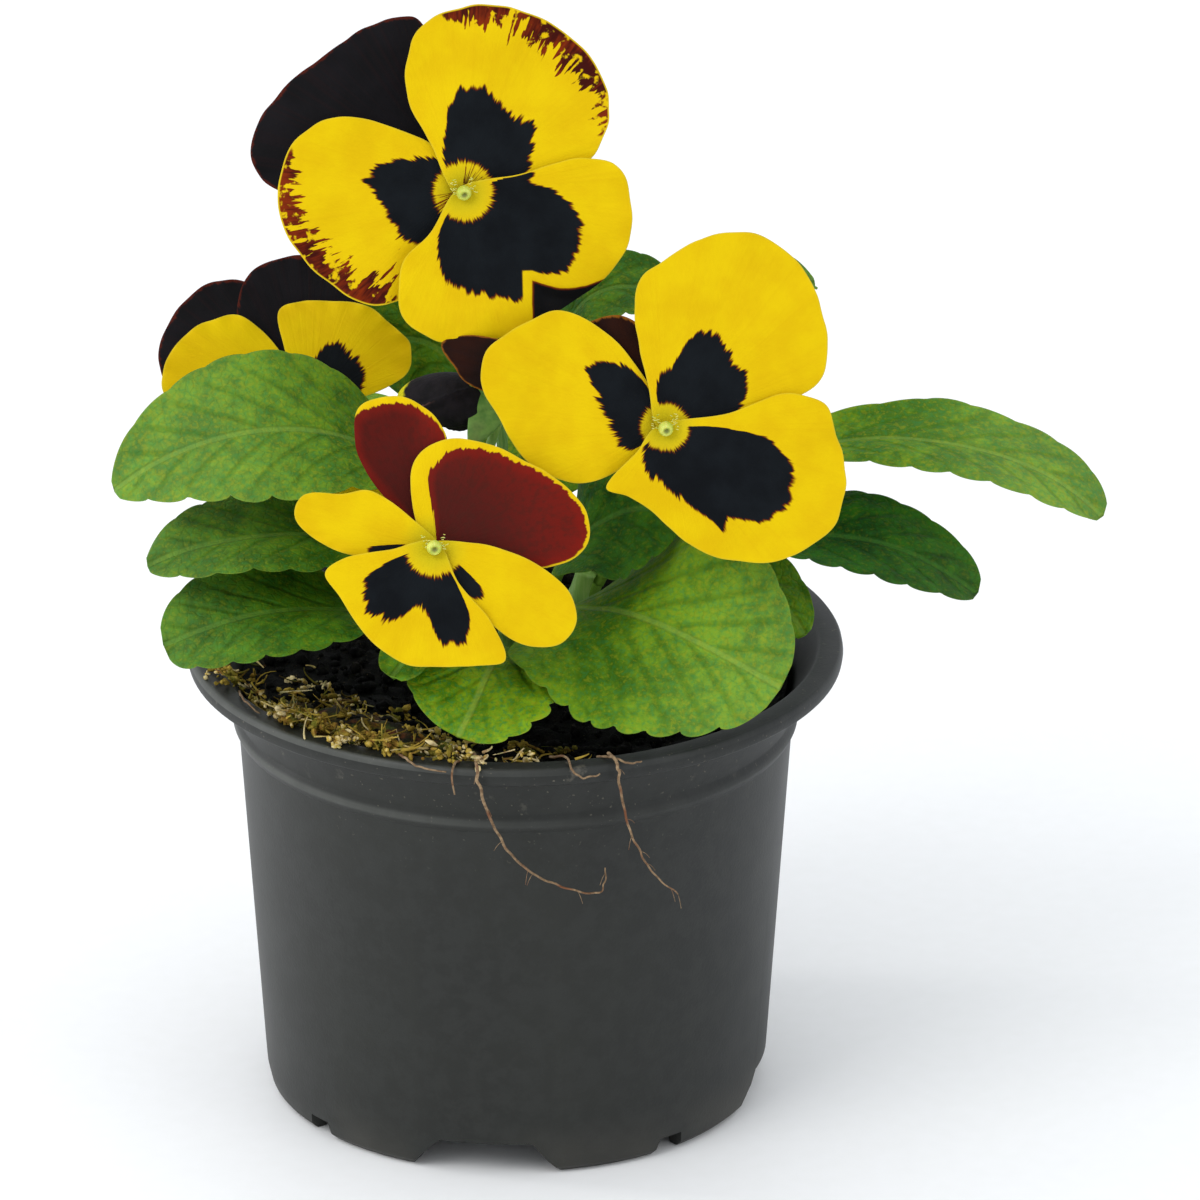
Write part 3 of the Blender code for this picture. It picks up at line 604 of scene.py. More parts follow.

# ------------------------------------------------------------
# The leaves: long ones at the sides, rounder ones in front, each on its own stalk. The blades
# are scalloped, arch over at the tip and are quilted between sunken side veins.
# ------------------------------------------------------------
# Shoot, height of the foot on it, the curve's two handles and tip, blade width, roll of the
# blade in degrees, share of the curve that is stalk, widest place, how pointed the tip is,
# scallops, brightness. The brightness is partly painted shade: leaves that lie in shade under the
# flowers get low values, the others their own lighter or darker green.
LEAVES = {
    "left_high": (
        "left", 97, (-9, -8, 134), (-48, -28, 149), (-72, -24, 126), 30, -36, 0.22, 0.50, 0.80, 9, 0.54,
    ),
    "left_middle": (
        "left", 91, (-14, -14, 113), (-45, -32, 127), (-66, -30, 114), 24, -16, 0.30, 0.50, 0.75, 8, 0.33,
    ),
    "left_low": (
        "left", 86, (-14, -20, 103), (-42, -40, 114), (-63, -38, 102), 26, -18, 0.34, 0.50, 0.50, 8, 0.22,
    ),
    "front_round": (
        "front", 88, (9, -22, 110), (24, -40, 110), (48, -46, 97), 45, 42, 0.26, 0.42, 0.50, 10, 0.62,
    ),
    "front_left": (
        "front", 84, (-3, -26, 101), (-3, -43, 101), (-10, -52, 90), 26, -6, 0.40, 0.55, 0.50, 7, 1.1,
    ),
    "front_small": (
        "front", 93, (-8, -22, 107), (-12, -36, 109), (-22, -46, 99), 12, 0, 0.45, 0.50, 0.50, 5, 0.4,
    ),
    "right_small": (
        "right", 86, (24, -3, 100), (44, -4, 108), (53, -8, 91), 18, 25, 0.50, 0.40, 0.70, 6, 0.5,
    ),
    "right_long": (
        "right", 97, (26, 6, 121), (80, 4, 139), (107, -2, 112), 22, 12, 0.36, 0.60, 0.50, 9, 0.68,
    ),
    "right_low": (
        "right", 92, (28, -5, 108.5), (60, -11, 121.5), (84, -13, 101.5), 22, 12, 0.38, 0.55, 0.50, 8, 0.0,
    ),
    "inner_right": (
        "front", 95, (7, -15, 110), (15, -18, 125), (31, -19, 119), 28, 40, 0.32, 0.50, 0.50, 6, 0.1,
    ),
    "back_high": (
        "back", 100, (2, 16, 132), (8, 18, 158), (30, 15, 147), 18, 20, 0.45, 0.50, 0.50, 7, 0.3,
    ),
    "back_peak": (
        "back", 96, (-3, 20, 122), (-10, 24, 148), (-31, 18, 134), 26, -60, 0.40, 0.50, 0.50, 7, 0.3,
    ),
    "right_high": (
        "right", 99, (18, 12, 128), (38, 24, 160), (55, 26, 146), 18, 10, 0.45, 0.50, 0.50, 7, 0.3,
    ),
    "back_left": (
        "back", 90, (-10, 26, 112), (-34, 44, 124), (-50, 50, 104), 24, 0, 0.34, 0.55, 0.50, 8, 0.5,
    ),
    "back_middle": (
        "back", 86, (4, 22, 108), (12, 44, 122), (16, 62, 102), 24, 0, 0.34, 0.55, 0.50, 8, 0.7,
    ),
    "back_right": (
        "right", 88, (22, 16, 112), (42, 34, 126), (54, 46, 106), 24, 0, 0.34, 0.55, 0.50, 8, 0.4,
    ),
}
VEIN_SPACING = 9.0  # mm along the midrib, on each side
VEIN_SLANT = 1.9  # mm that a side vein goes towards the tip for each mm outwards
STALK_HALF = 0.0011
BLADE_HALF = 0.00022


def beside_shoot(shoot, height, towards, thick=STALK_HALF):
    """The point beside the shoot at this height, where a stalk starts towards a place."""
    foot, tip = shoot_ends(shoot)
    share = (height * MM - foot.z) / (tip.z - foot.z)
    place = foot.lerp(tip, share)
    place.xy = foot.xy.lerp(tip.xy, share ** 1.4)
    away = Vector((towards.x - place.x, towards.y - place.y, 0)).normalized()
    return place + away * (0.0018 + thick)


def bezier(points, t):
    """A cubic curve's place and direction at t."""
    a, b, c, d = points
    s = 1 - t
    place = s ** 3 * a + 3 * s * s * t * b + 3 * s * t * t * c + t ** 3 * d
    way = s * s * (b - a) + 2 * s * t * (c - b) + t * t * (d - c)
    return place, way.normalized()


def half_width(share, widest, pointed):
    """Half the blade's width, as a share of its largest, from its base (0) to its tip (1)."""
    rise = pointed * widest / (1 - widest)
    return share ** rise * (1 - share) ** pointed / (widest ** rise * (1 - widest) ** pointed)


green = Finish("leaf", Specular_IOR_Level=0.10)
place = green.place()
along, across, from_edge = green.parts(green.stored("blade"))
bright, under, blade = green.parts(green.stored("look"))
off = abs(across)
wander = green.noise(place, 130, 2) - 0.5
step = (along - off * VEIN_SLANT + off * off * 0.03) / VEIN_SPACING
step = step + across.rise(-0.01, 0.01) * 0.5 + wander * 0.25
nearest = abs(step - step.maths("ROUND")) * VEIN_SPACING
side_vein = nearest.rise(1.6, 0.0) * off.rise(0.0, 1.5) * from_edge.rise(0.5, 5.0)
midrib = off.rise(0.85, 0.30) * blade
cells = green.node(
    "ShaderNodeTexVoronoi", {"feature": "DISTANCE_TO_EDGE"}, {"Vector": place, "Scale": 620}, "Distance"
)
net = cells.rise(0.16, 0.0)
mottle = green.noise(place, 330, 4, 0.65)
clouds = green.noise(place, 75, 3, 0.5)
flecks = green.noise(place, 1150, 2, 0.6)
# A leaf's brightness sets both greens. It is partly painted shade, low on the leaves that lie in shade under
# the flowers.
deep = green.mix(bright, paint(10, 54, 3), paint(70, 118, 4))
pale = green.mix(bright, paint(42, 98, 12), paint(134, 172, 24))
strength = 0.25 + 0.75 * bright
shade = green.mix((clouds * 0.5 + mottle * 0.5).rise(0.37, 0.63), deep, pale)
# Painted light: the blade is painted paler towards its tip, away from the shade near the flowers.
shade = green.mix(along.rise(18, 55) * strength * 0.4, shade, paint(134, 162, 88))
shade = green.mix(flecks.rise(0.51, 0.66) * strength * 0.5, shade, paint(40, 128, 66))
shade = green.mix(flecks.rise(0.48, 0.34) * strength * 0.45, shade, paint(152, 150, 24))
shade = green.mix(net * 0.12, shade, deep)
# Painted shade: the sunken side veins are darkened as if shade lay in their grooves.
shade = green.mix(side_vein * 0.33, shade, deep)
shade = green.mix(midrib * 0.35, shade, green.mix(bright, paint(72, 122, 48), paint(158, 182, 80)))
shade = green.mix(from_edge.rise(0.5, 0.1) * blade * strength * 0.3, shade, paint(140, 160, 60))
shade = green.mix(under * 0.4, shade, green.mix(bright, paint(46, 92, 26), paint(110, 150, 48)))
shade = green.mix(blade.rise(1.0, 0.0), shade, paint(92, 126, 40))
green.shades(Base_Color=shade, Roughness=0.50 + 0.25 * mottle + 0.1 * under)
green.bump(mottle * 0.35 + flecks * 0.15 - net * 0.18 - side_vein * 0.8 - midrib * 0.9, 0.0005, 0.7)


def leaf(
    name, shoot, height, lift, crest, tip, width, roll, stalk_share, widest, pointed, scallops, brightness
):
    """A leaf in one piece: a round stalk that flattens into a thin, drooping blade."""
    lift, crest, tip = (Vector(point) * MM for point in (lift, crest, tip))
    foot = beside_shoot(shoot, height, crest)
    across_ground = (tip - foot).cross(Vector((0, 0, 1))).normalized()
    curve = (foot, lift, crest, tip)
    length = sum((bezier(curve, (k + 1) / 60)[0] - bezier(curve, k / 60)[0]).length for k in range(60))
    seed = len(name) * 3.7 + width
    bm = bmesh.new()
    blade_layer = bm.verts.layers.float_vector.new("blade")
    look_layer = bm.verts.layers.float_vector.new("look")

    def lay(vertex, angle, t):
        right, up_side = math.cos(angle), math.sin(angle)
        place, way = bezier(curve, t)
        share = max(0, (t - stalk_share) / (1 - stalk_share))
        across = Matrix.Rotation(math.radians(roll) * min(1, 2 * share), 3, way) @ across_ground
        across = (across - way * across.dot(way)).normalized()
        up = across.cross(way)
        flat = min(1, 6 * share)
        side_share = min(1, max(0, share + 0.012 * math.copysign(1, right)))
        lobe = scallops * side_share ** 1.1 + 0.25 * noise.noise(Vector((share * 3, right, seed)))
        tooth = abs(math.sin(math.pi * lobe)) ** 0.55
        uneven = 1 + 0.05 * noise.noise(Vector((share * 4, math.copysign(3, right), seed)))
        blade_half = width / 2 * MM * half_width(share, widest, pointed) * uneven
        ramp = min(1, max(0, share - 0.15) / 0.2) * abs(right) ** 6
        notch = 0.35 if across.y * right > 0.2 else 1.0
        blade_half -= min(0.0017, 0.15 * blade_half) * (1 - tooth) * ramp * notch
        wide = STALK_HALF + blade_half
        deep = STALK_HALF + (BLADE_HALF - STALK_HALF) * flat
        fold = 0.10 * wide * flat * right * right
        along_blade = share * length * (1 - stalk_share) / MM
        vein = (along_blade - abs(right) * wide / MM * VEIN_SLANT) / VEIN_SPACING
        quilt = 0.00024 * flat * abs(math.sin(math.pi * (vein + (0.5 if right > 0 else 0))))
        quilt *= min(1, abs(right) * 4) * min(1, (1 - abs(right)) * 3)
        wave = 0.0011 * noise.noise(Vector((share * 5, right * 1.3, seed + 9))) * flat * abs(right) ** 2
        wave += 0.0012 * noise.noise(Vector((share * 2.2, right, seed + 20))) * flat
        rib = -0.0005 * flat * max(0, 1 - abs(right) * wide / 0.0012) * (1 if up_side < 0 else 0.6)
        if t in (0, 1):
            wide = 0
        vertex.co = place + across * wide * right + up * (deep * up_side + fold + quilt + wave + rib)
        vertex.co -= way * 0.22 * wide * flat * max(0, 1 - 5 * share) * abs(right)
        vertex[blade_layer] = (
            (t - stalk_share) * length / MM, right * wide / MM, (1 - abs(right)) * wide / MM,
        )
        vertex[look_layer] = (brightness, 1 if up_side < 0 else 0, min(1, 12 * share))

    spindle(bm, 40, 168, lay)
    made = add_piece(f"green_leaf_{name}", bm, green)
    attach(made, "root")
    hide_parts(f"leaf_{name}")


for name, shape in LEAVES.items():
    leaf(name, *shape)

# ------------------------------------------------------------
# The flowers: five velvety petals each, laid over one another round a small yellow throat. The
# two upper ones are nearly black or maroon; the side ones and the lip are yellow with a ragged
# black face, and those of the top flower are brushed with brown-red along the margin.
# ------------------------------------------------------------
# Throat in mm, then heading and upward tilt of the face in degrees.
FLOWERS = {
    "top": ((-9, -16, 181), 3, 20),
    "right": ((27, -37, 144), 5, 20),
    "low": ((-14, -52, 127), 0, 25),
    "left": ((-37, 5, 131), -8, 20),
}
DISH = -1.0  # mm that every face curls back at 30 mm out
LAYER_STEP = 1.15  # mm from the middle of one layer of petals to the next
PETAL_HALF = 0.17  # half a petal's thickness, mm
# How far each petal curls towards the front at 30 mm out, in mm, then its outline from the
# throat: the angle in the face from the flower's right and the distance from the throat.
PETALS = {
    "top": {
        "upper_left": (-1.5, (
            (96, 10), (99, 22), (104, 32), (119, 34), (133, 34.5), (147, 36.5), (160, 38.5), (171, 38),
            (179, 33), (185, 23), (188, 12),
        )),
        "upper_right": (-1, (
            (52, 9), (56, 19), (66, 26), (78, 29), (90, 29), (101, 26), (110, 21), (117, 11),
        )),
        "lateral_left": (1, (
            (123, 10), (138, 18), (148, 26), (160, 31), (173, 33), (187, 33), (202, 31), (217, 28.5),
            (231, 26), (243, 20), (250, 10),
        )),
        "lateral_right": (1, (
            (5, 12), (13, 23), (24, 28.5), (36, 32), (49, 33.5), (62, 34), (75, 34), (89, 33),
            (102, 31), (112, 26), (120, 19), (124, 10),
        )),
        "lip": (1, (
            (-131, 9), (-131, 17), (-119, 24), (-104, 27), (-88, 27), (-72, 27), (-57, 27), (-44, 28),
            (-31, 30), (-18, 31), (-5, 30), (8, 28), (15, 21), (17, 10),
        )),
    },
    "right": {
        "upper_left": (-1.2, ((143, 12), (147, 24), (151, 35), (157, 42), (162, 39), (167, 33), (172, 13))),
        "upper_right": (-1, ((92, 9), (98, 17), (110, 21.5), (124, 23), (138, 23), (150, 19), (158, 10))),
        "lateral_left": (1, (
            (109, 9), (120, 20), (130, 28), (143, 31.5), (156, 35), (167, 33), (177, 29), (190, 26),
            (205, 21), (218, 15), (224, 7),
        )),
        "lateral_right": (1, (
            (4, 10), (8, 20), (15, 29), (26, 33), (37, 35.5), (49, 38), (62, 38), (74, 35.5),
            (87, 30.5), (99, 26), (105, 18), (109, 9),
        )),
        "lip": (1, (
            (-141, 7), (-137, 15), (-119, 14), (-99, 15.5), (-81, 21), (-67, 26), (-54, 30.5), (-42, 33.5),
            (-30, 35), (-17, 33.5), (-5, 31), (7, 28.5), (14, 22), (11, 11),
        )),
    },
    "low": {
        "upper_left": (-2, (
            (80, 10), (84, 20), (96, 26), (108, 28.5), (119, 28.5), (128, 23), (134, 15), (134, 7),
        )),
        "upper_right": (-1, (
            (-16, 10), (-11, 19), (-4, 25.5), (7, 28), (19, 27), (32, 24.5), (46, 22), (62, 21),
            (78, 20), (94, 18), (108, 14), (121, 7),
        )),
        "lateral_left": (1, (
            (129, 7), (138, 15), (150, 19), (158, 25), (168, 25.5), (176, 21.5), (184, 16), (194, 8),
        )),
        "lateral_right": (1, (
            (-58, 8), (-54, 17), (-47, 24), (-37, 28.5), (-27, 28.5), (-18, 25), (-10, 19), (-3, 13),
            (6, 7),
        )),
        "lip": (1, (
            (-176, 8), (-173, 16), (-166, 20), (-151, 19), (-136, 19.5), (-120, 20.5), (-103, 21.5),
            (-86, 21.5), (-71, 22.5), (-58, 24), (-53, 17), (-56, 8),
        )),
    },
    "left": {
        "upper_left": (-2, (
            (112, 13), (120, 24), (132, 29), (144, 30.5), (156, 31), (168, 30), (179, 26), (188, 18),
            (192, 9),
        )),
        "upper_right": (-1, (
            (58, 10), (65, 20), (80, 24.5), (94, 27), (107, 27.5), (120, 26.5), (133, 21.5), (142, 11),
        )),
        "lateral_left": (1, (
            (119, 8), (130, 20), (144, 24.5), (157, 27), (170, 28), (183, 26), (194, 19), (199, 9),
        )),
        "lateral_right": (1, (
            (12, 9), (20, 18), (34, 21.5), (49, 21), (64, 21), (81, 19.5), (98, 19), (112, 18),
            (120, 9),
        )),
        "lip": (1, (
            (-136, 9), (-127, 18), (-110, 23.5), (-91, 26), (-71, 26.5), (-51, 25.5), (-32, 22), (-16, 17),
            (-8, 8),
        )),
    },
}
LAYERS = {"upper_left": -2, "upper_right": -1, "lateral_left": 0, "lateral_right": 1, "lip": 2}
# How far the black face reaches from the throat on each yellow petal, as (angle, mm) points.
FACES = {
    ("top", "lateral_left"): (
        (118, 4), (125, 6.2), (143, 9.8), (154, 13), (162, 15.5), (172, 17.4), (182, 15.2), (193, 14.1),
        (208, 13.4), (222, 13), (232, 12), (250, 10),
    ),
    ("top", "lateral_right"): (
        (5, 11), (19, 12.2), (35, 15), (44, 17.6), (52, 15.8), (62, 16.4), (68, 17.3), (77, 18.5),
        (85, 18.7), (92, 17.7), (99, 15.2), (104, 11.5), (112, 8.5), (122, 6.3), (130, 3),
    ),
    ("top", "lip"): (
        (-130, 3), (-124, 6), (-119, 9.6), (-110, 12.6), (-102, 16.6), (-87, 17.7), (-73, 19.5),
        (-64, 21.6), (-57, 20.5), (-52, 18.3), (-46, 21), (-40, 23), (-31, 22.8), (-20, 22.2),
        (-11, 20.2), (-2, 16.8), (4, 12.5), (17, 12),
    ),
    ("right", "lateral_left"): (
        (106, 4), (110, 7), (114, 9.3), (119, 11.9), (129, 14.9), (134, 16.7), (142, 17.4),
        (146, 15.2), (153, 13.1), (164, 10.8), (184, 8.7), (212, 7.4), (224, 3),
    ),
    ("right", "lateral_right"): (
        (-3, 5), (8, 11.9), (19, 15.3), (31, 17.4), (39, 16.6), (51, 17.2), (60, 18.8), (67, 18.3),
        (72, 16.6), (76, 13), (84, 9.9), (99, 7.8), (106, 4),
    ),
    ("right", "lip"): (
        (-142, 4), (-130, 6.5), (-116, 8), (-95, 9.8), (-77, 12.8), (-67, 17.5), (-63, 21),
        (-60, 20.6), (-57, 19.4), (-50, 22), (-43, 25.3), (-33, 25.5), (-25, 24.5), (-17, 22.7),
        (-11, 19.9), (-7, 16.9), (-3, 10.5), (3, 3),
    ),
    ("low", "lateral_left"): ((168, 2), (174, 4.5), (178, 9.5), (181, 11.8), (186, 11), (191, 8), (198, 4)),
    ("low", "lateral_right"): ((-60, 9), (-53, 11), (-48, 12.5), (-43, 12), (-39, 9), (-36, 6), (-32, 2)),
    ("low", "lip"): (
        (-166, 3), (-161, 9.3), (-156, 13), (-150, 14.3), (-143, 15), (-138, 16.3), (-128, 15.6),
        (-120, 15.4), (-116, 13.3), (-107, 10.4), (-100, 10.8), (-94, 12.2), (-89, 16), (-80, 17.7),
        (-74, 17.9), (-66, 15.8), (-61, 11.2), (-59, 7), (-55, 2),
    ),
    ("left", "lateral_left"): ((125, 3), (140, 8), (155, 10), (175, 10), (190, 6), (198, 2)),
    ("left", "lateral_right"): (
        (12, 8), (30, 11), (41, 11.8), (51, 11.8), (66, 12), (74, 12.7), (80, 10.2), (92, 7), (104, 3),
    ),
    ("left", "lip"): ((-135, 4), (-112, 12), (-90, 15), (-68, 14), (-45, 15.5), (-25, 13), (-8, 5)),
}
# The brushed or bare margin's width, as (angle, mm) points.
MARGINS = {
    ("top", "lateral_left"): ((163, 0), (175, 4.4), (190, 6.2), (205, 6.6), (220, 7), (230, 6), (238, 0)),
    ("top", "lateral_right"): (
        (20, 0), (27, 5), (34, 2.2), (42, 5.5), (55, 6.6), (66, 6.8), (78, 5.6), (88, 4), (98, 0),
    ),
    ("low", "upper_left"): ((84, 0.4), (93, 0.9), (105, 1.4), (113, 1.6), (118, 1.0), (122, 0)),
    ("low", "upper_right"): (
        (-18, 0.4), (10, 0.8), (40, 1.0), (60, 1.3), (76, 2.2), (90, 3.4), (108, 4.6), (130, 5),
    ),
}
RINGS = {"top": 5.6, "right": 4.4, "low": 5.6, "left": 4.5}  # radius of the yellow throat, mm


def face_frame(throat, heading, tilt):
    """The flower's frame: X to its right as seen, Y up, and Z out of its face."""
    turn = Matrix.Rotation(math.radians(heading), 4, "Z")
    lean = Matrix.Rotation(math.radians(90 - tilt), 4, "X")
    return Matrix.Translation(Vector(throat) * MM) @ turn @ lean


def smooth_loop(points, turn):
    """The point at this turn, 0 to 1, of the smooth closed curve through the given ones."""
    count = len(points)
    index = math.floor(turn * count)
    t = turn * count - index
    before, start, end, after = (points[(index + step) % count] for step in (-1, 0, 1, 2))
    return 0.5 * (
        2 * start + (end - before) * t + (2 * before - 5 * start + 4 * end - after) * t * t
        + (3 * start - before - 3 * end + after) * t ** 3
    )


def petal_outline(flower, name):
    """The outline's points in mm in the flower's face, from the claw, and the body's middle."""
    points = [
        Vector((out * math.cos(math.radians(angle)), out * math.sin(math.radians(angle))))
        for angle, out in PETALS[flower][name][1]
    ]
    middle = sum(points, Vector((0, 0))) / len(points)
    return [middle.normalized() * -1.0, *points], 0.75 * middle


def at_angle(points, angle):
    """The value at this angle between (angle, value) points, and 0 outside them."""
    for (start, low), (end, high) in zip(points, points[1:]):
        if start <= angle <= end:
            return low + (high - low) * (angle - start) / (end - start)
    return 0


def petal_finish(name, uppers):
    """Yellow petals, and uppers that are black, brown or ruby."""
    velvet = Finish(name, Specular_IOR_Level=0.07, Sheen_Weight=0.02, Sheen_Roughness=0.4)
    place = velvet.place()
    x, y, margin = velvet.parts(velvet.stored("petal"))
    inside, rim, fold = velvet.parts(velvet.stored("face"))
    upper, front, ring = velvet.parts(velvet.stored("kind"))
    out = (x * x + y * y) ** 0.5
    angle = velvet.node("ShaderNodeMath", {"operation": "ARCTAN2"}, {0: y, 1: x}) * (180 / math.pi)

    def rays(across, along, seed, detail):
        swirl = velvet.node(
            "ShaderNodeCombineXYZ", {}, {"X": angle * across, "Y": out * along, "Z": ring + seed},
        )
        return velvet.noise(swirl, 1, detail, 0.6) - 0.5

    broad = rays(0.26, 0.10, 0.0, 2)
    fine = rays(0.75, 0.25, 4.0, 2)
    veins = rays(0.62, 0.03, 9.0, 1) + 0.5
    patches = velvet.noise(place, 130, 3, 0.55)

    edge = inside + broad * 4.2 + fine * 1.6
    past_ring = out - ring + broad * 2.4 + fine * 1.4
    crease = fold.rise(-1.9, -1.5) * fold.rise(0.5, 0.1)
    rim_line = margin.rise(0.16, 0.32)
    away = rim_line * (1 - crease) * out.rise(3.2, 4.4)
    black = edge.rise(-0.1, 0.15) * past_ring.rise(-0.1, 0.2) * away
    fringe = edge.rise(-0.75, -0.05) * past_ring.rise(-0.7, -0.05) * away

    yellow = velvet.mix(patches.rise(0.3, 0.7), paint(209, 172, 0), paint(216, 184, 2))
    yellow = velvet.mix(veins.rise(0.5, 0.75) * 0.09, yellow, paint(196, 150, 0))
    yellow = velvet.mix(out.rise(7.0, 2.0) * 0.55, yellow, paint(180, 174, 26))
    yellow = velvet.mix(margin.rise(0.4, 0.05) * 0.4, yellow, paint(196, 178, 50))
    yellow = velvet.mix((1 - front) * 0.5, yellow, paint(196, 172, 44))
    brushed = rim * (0.62 + broad * 2.6 + fine * 1.8) - margin
    flecks = (velvet.noise(place, 420, 3, 0.6) + broad * 0.5).rise(0.36, 0.46)
    brush = brushed.rise(-0.3, 0.25) * flecks * rim.rise(0.2, 1.2) * margin.rise(0.12, 0.4)
    red_brown = velvet.mix((patches + fine * 0.6).rise(0.35, 0.65), paint(58, 10, 4), paint(118, 38, 6))
    light = velvet.mix(brush, yellow, red_brown)
    light = velvet.mix(fringe * front, light, paint(88, 26, 4))
    black_shade = velvet.mix(patches.rise(0.3, 0.7), paint(8, 11, 15), paint(17, 21, 25))
    light = velvet.mix(black * front, light, black_shade)
    folded = fold + (patches - 0.5) * 0.8
    light = velvet.mix(folded.rise(-0.1, 0.15) * front, light, paint(110, 40, 4))
    light = velvet.mix(folded.rise(0.1, 0.5) * front, light, paint(12, 12, 14))

    if uppers == "ruby":
        dark = velvet.mix(out.rise(8, 26), paint(72, 21, 16), paint(104, 22, 14))
        flecked = (velvet.noise(place, 900, 2) + fine * 0.4).rise(0.4, 0.7) * 0.4
        dark = velvet.mix(flecked, dark, paint(60, 26, 18))
        dark = velvet.mix(velvet.parts(place)[0].rise(-0.014, -0.020) * 0.6, dark, paint(56, 14, 10))
        dark = velvet.mix((margin + broad * 1.2 - rim).rise(2.4, 0.2) * 0.35, dark, paint(132, 20, 8))
        bare = (rim + (broad * 1.9 + fine * 1.2) * rim.rise(0.2, 1.0) - margin).rise(0.0, 0.3)
        dark = velvet.mix(bare, dark, yellow)
    else:
        brown = uppers == "brown"
        deep, lit = (paint(20, 9, 6), paint(40, 16, 8)) if brown else (paint(11, 10, 12), paint(19, 17, 20))
        dark = velvet.mix(patches.rise(0.3, 0.7), deep, lit)
        dark = velvet.mix(veins.rise(0.45, 0.75) * 0.3, dark, paint(30, 14, 15))
        ragged = (margin + broad * 1.6 + fine).rise(0.6, 0.1)
        dark = velvet.mix(ragged * 0.85, dark, paint(140, 84, 18) if brown else paint(76, 24, 12))
    velvet.shades(Base_Color=velvet.mix(upper, light, dark), Roughness=0.6 + 0.2 * patches)
    velvet.bump(veins * 0.5 + velvet.noise(place, 1500, 2) * 0.25 + patches * 0.5, 0.0004, 0.4)
    return velvet


near_black = petal_finish("petals_black_uppers", "black")
brown = petal_finish("petals_brown_uppers", "brown")
ruby = petal_finish("petals_ruby_uppers", "ruby")
UPPERS = {"top": near_black, "right": brown, "low": ruby, "left": near_black}


def petal(flower, name, seed):
    curl = PETALS[flower][name][0]
    frame_here = face_frame(*FLOWERS[flower])
    outline, middle = petal_outline(flower, name)
    main_way = math.degrees(math.atan2(middle.y, middle.x))
    upright = Matrix.Rotation(math.radians(-main_way), 2)
    seen_from = main_way + 360 if name.endswith("_left") and main_way < 0 else main_way
    face = FACES.get((flower, name), ((0, 0), (1, 0)))
    margins = MARGINS.get((flower, name), ((0, 0), (1, 0)))
    upper = 1 if name.startswith("upper") else 0
    bm = bmesh.new()
    stores = {key: bm.verts.layers.float_vector.new(key) for key in ("petal", "face", "kind")}
    for vertex in bmesh.ops.create_uvsphere(bm, u_segments=168, v_segments=44, radius=1)["verts"]:
        out = min(1, math.hypot(vertex.co.x, vertex.co.y))
        turn = math.atan2(vertex.co.y, vertex.co.x) / math.tau % 1
        side = math.copysign(1, vertex.co.z) if out < 0.9999 else 0
        edge = smooth_loop(outline, turn)
        uneven = 0.022 * noise.noise(Vector((edge.x / 4.5, edge.y / 4.5, seed))) * min(1, edge.length / 15)
        place = middle.lerp(edge, out * (1 + uneven))
        far = place.length
        sag = 1.6 * math.sin(math.pi * min(1, max(0, (place.x - 12) / 13)))
        fold = min(place.x - 11.9, -16 - sag - place.y) if (flower, name) == ("top", "lip") else -9
        rise = DISH * (far / 30) ** 2 + curl * (far / 30) ** 3
        rise += 1.7 * noise.noise(Vector((place.x / 15, place.y / 15, len(flower)))) * min(1, far / 22) ** 2
        rise -= 1.0 * math.exp(-(far / 3.0) ** 2)
        rise += 0.22 * math.sin(turn * 82 + seed) * out ** 8 * min(1, far / 20)
        rise += LAYERS[name] * LAYER_STEP + side * PETAL_HALF * (1 - out ** 10) ** 0.5
        rise -= 0.6 * min(2, max(0, fold))
        vertex.co = frame_here @ (Vector((place.x, place.y, rise)) * MM)
        degrees = math.degrees(math.atan2(place.y, place.x))
        degrees = (degrees - seen_from + 180) % 360 - 180 + seen_from
        vertex[stores["petal"]] = (*(upright @ place), (1 - out) * (edge - middle).length)
        vertex[stores["face"]] = (at_angle(face, degrees) - far, at_angle(margins, degrees), fold)
        vertex[stores["kind"]] = (upper, 1 if side >= 0 else 0, RINGS[flower])
    finish = UPPERS[flower]
    made = add_piece(f"{flower}_petal_{name}", bm, finish)
    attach(made, "root")
    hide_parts(f"{flower}_flower_{name}")


for flower, petals in PETALS.items():
    for index, name in enumerate(petals):
        petal(flower, name, index * 2.3 + len(flower))

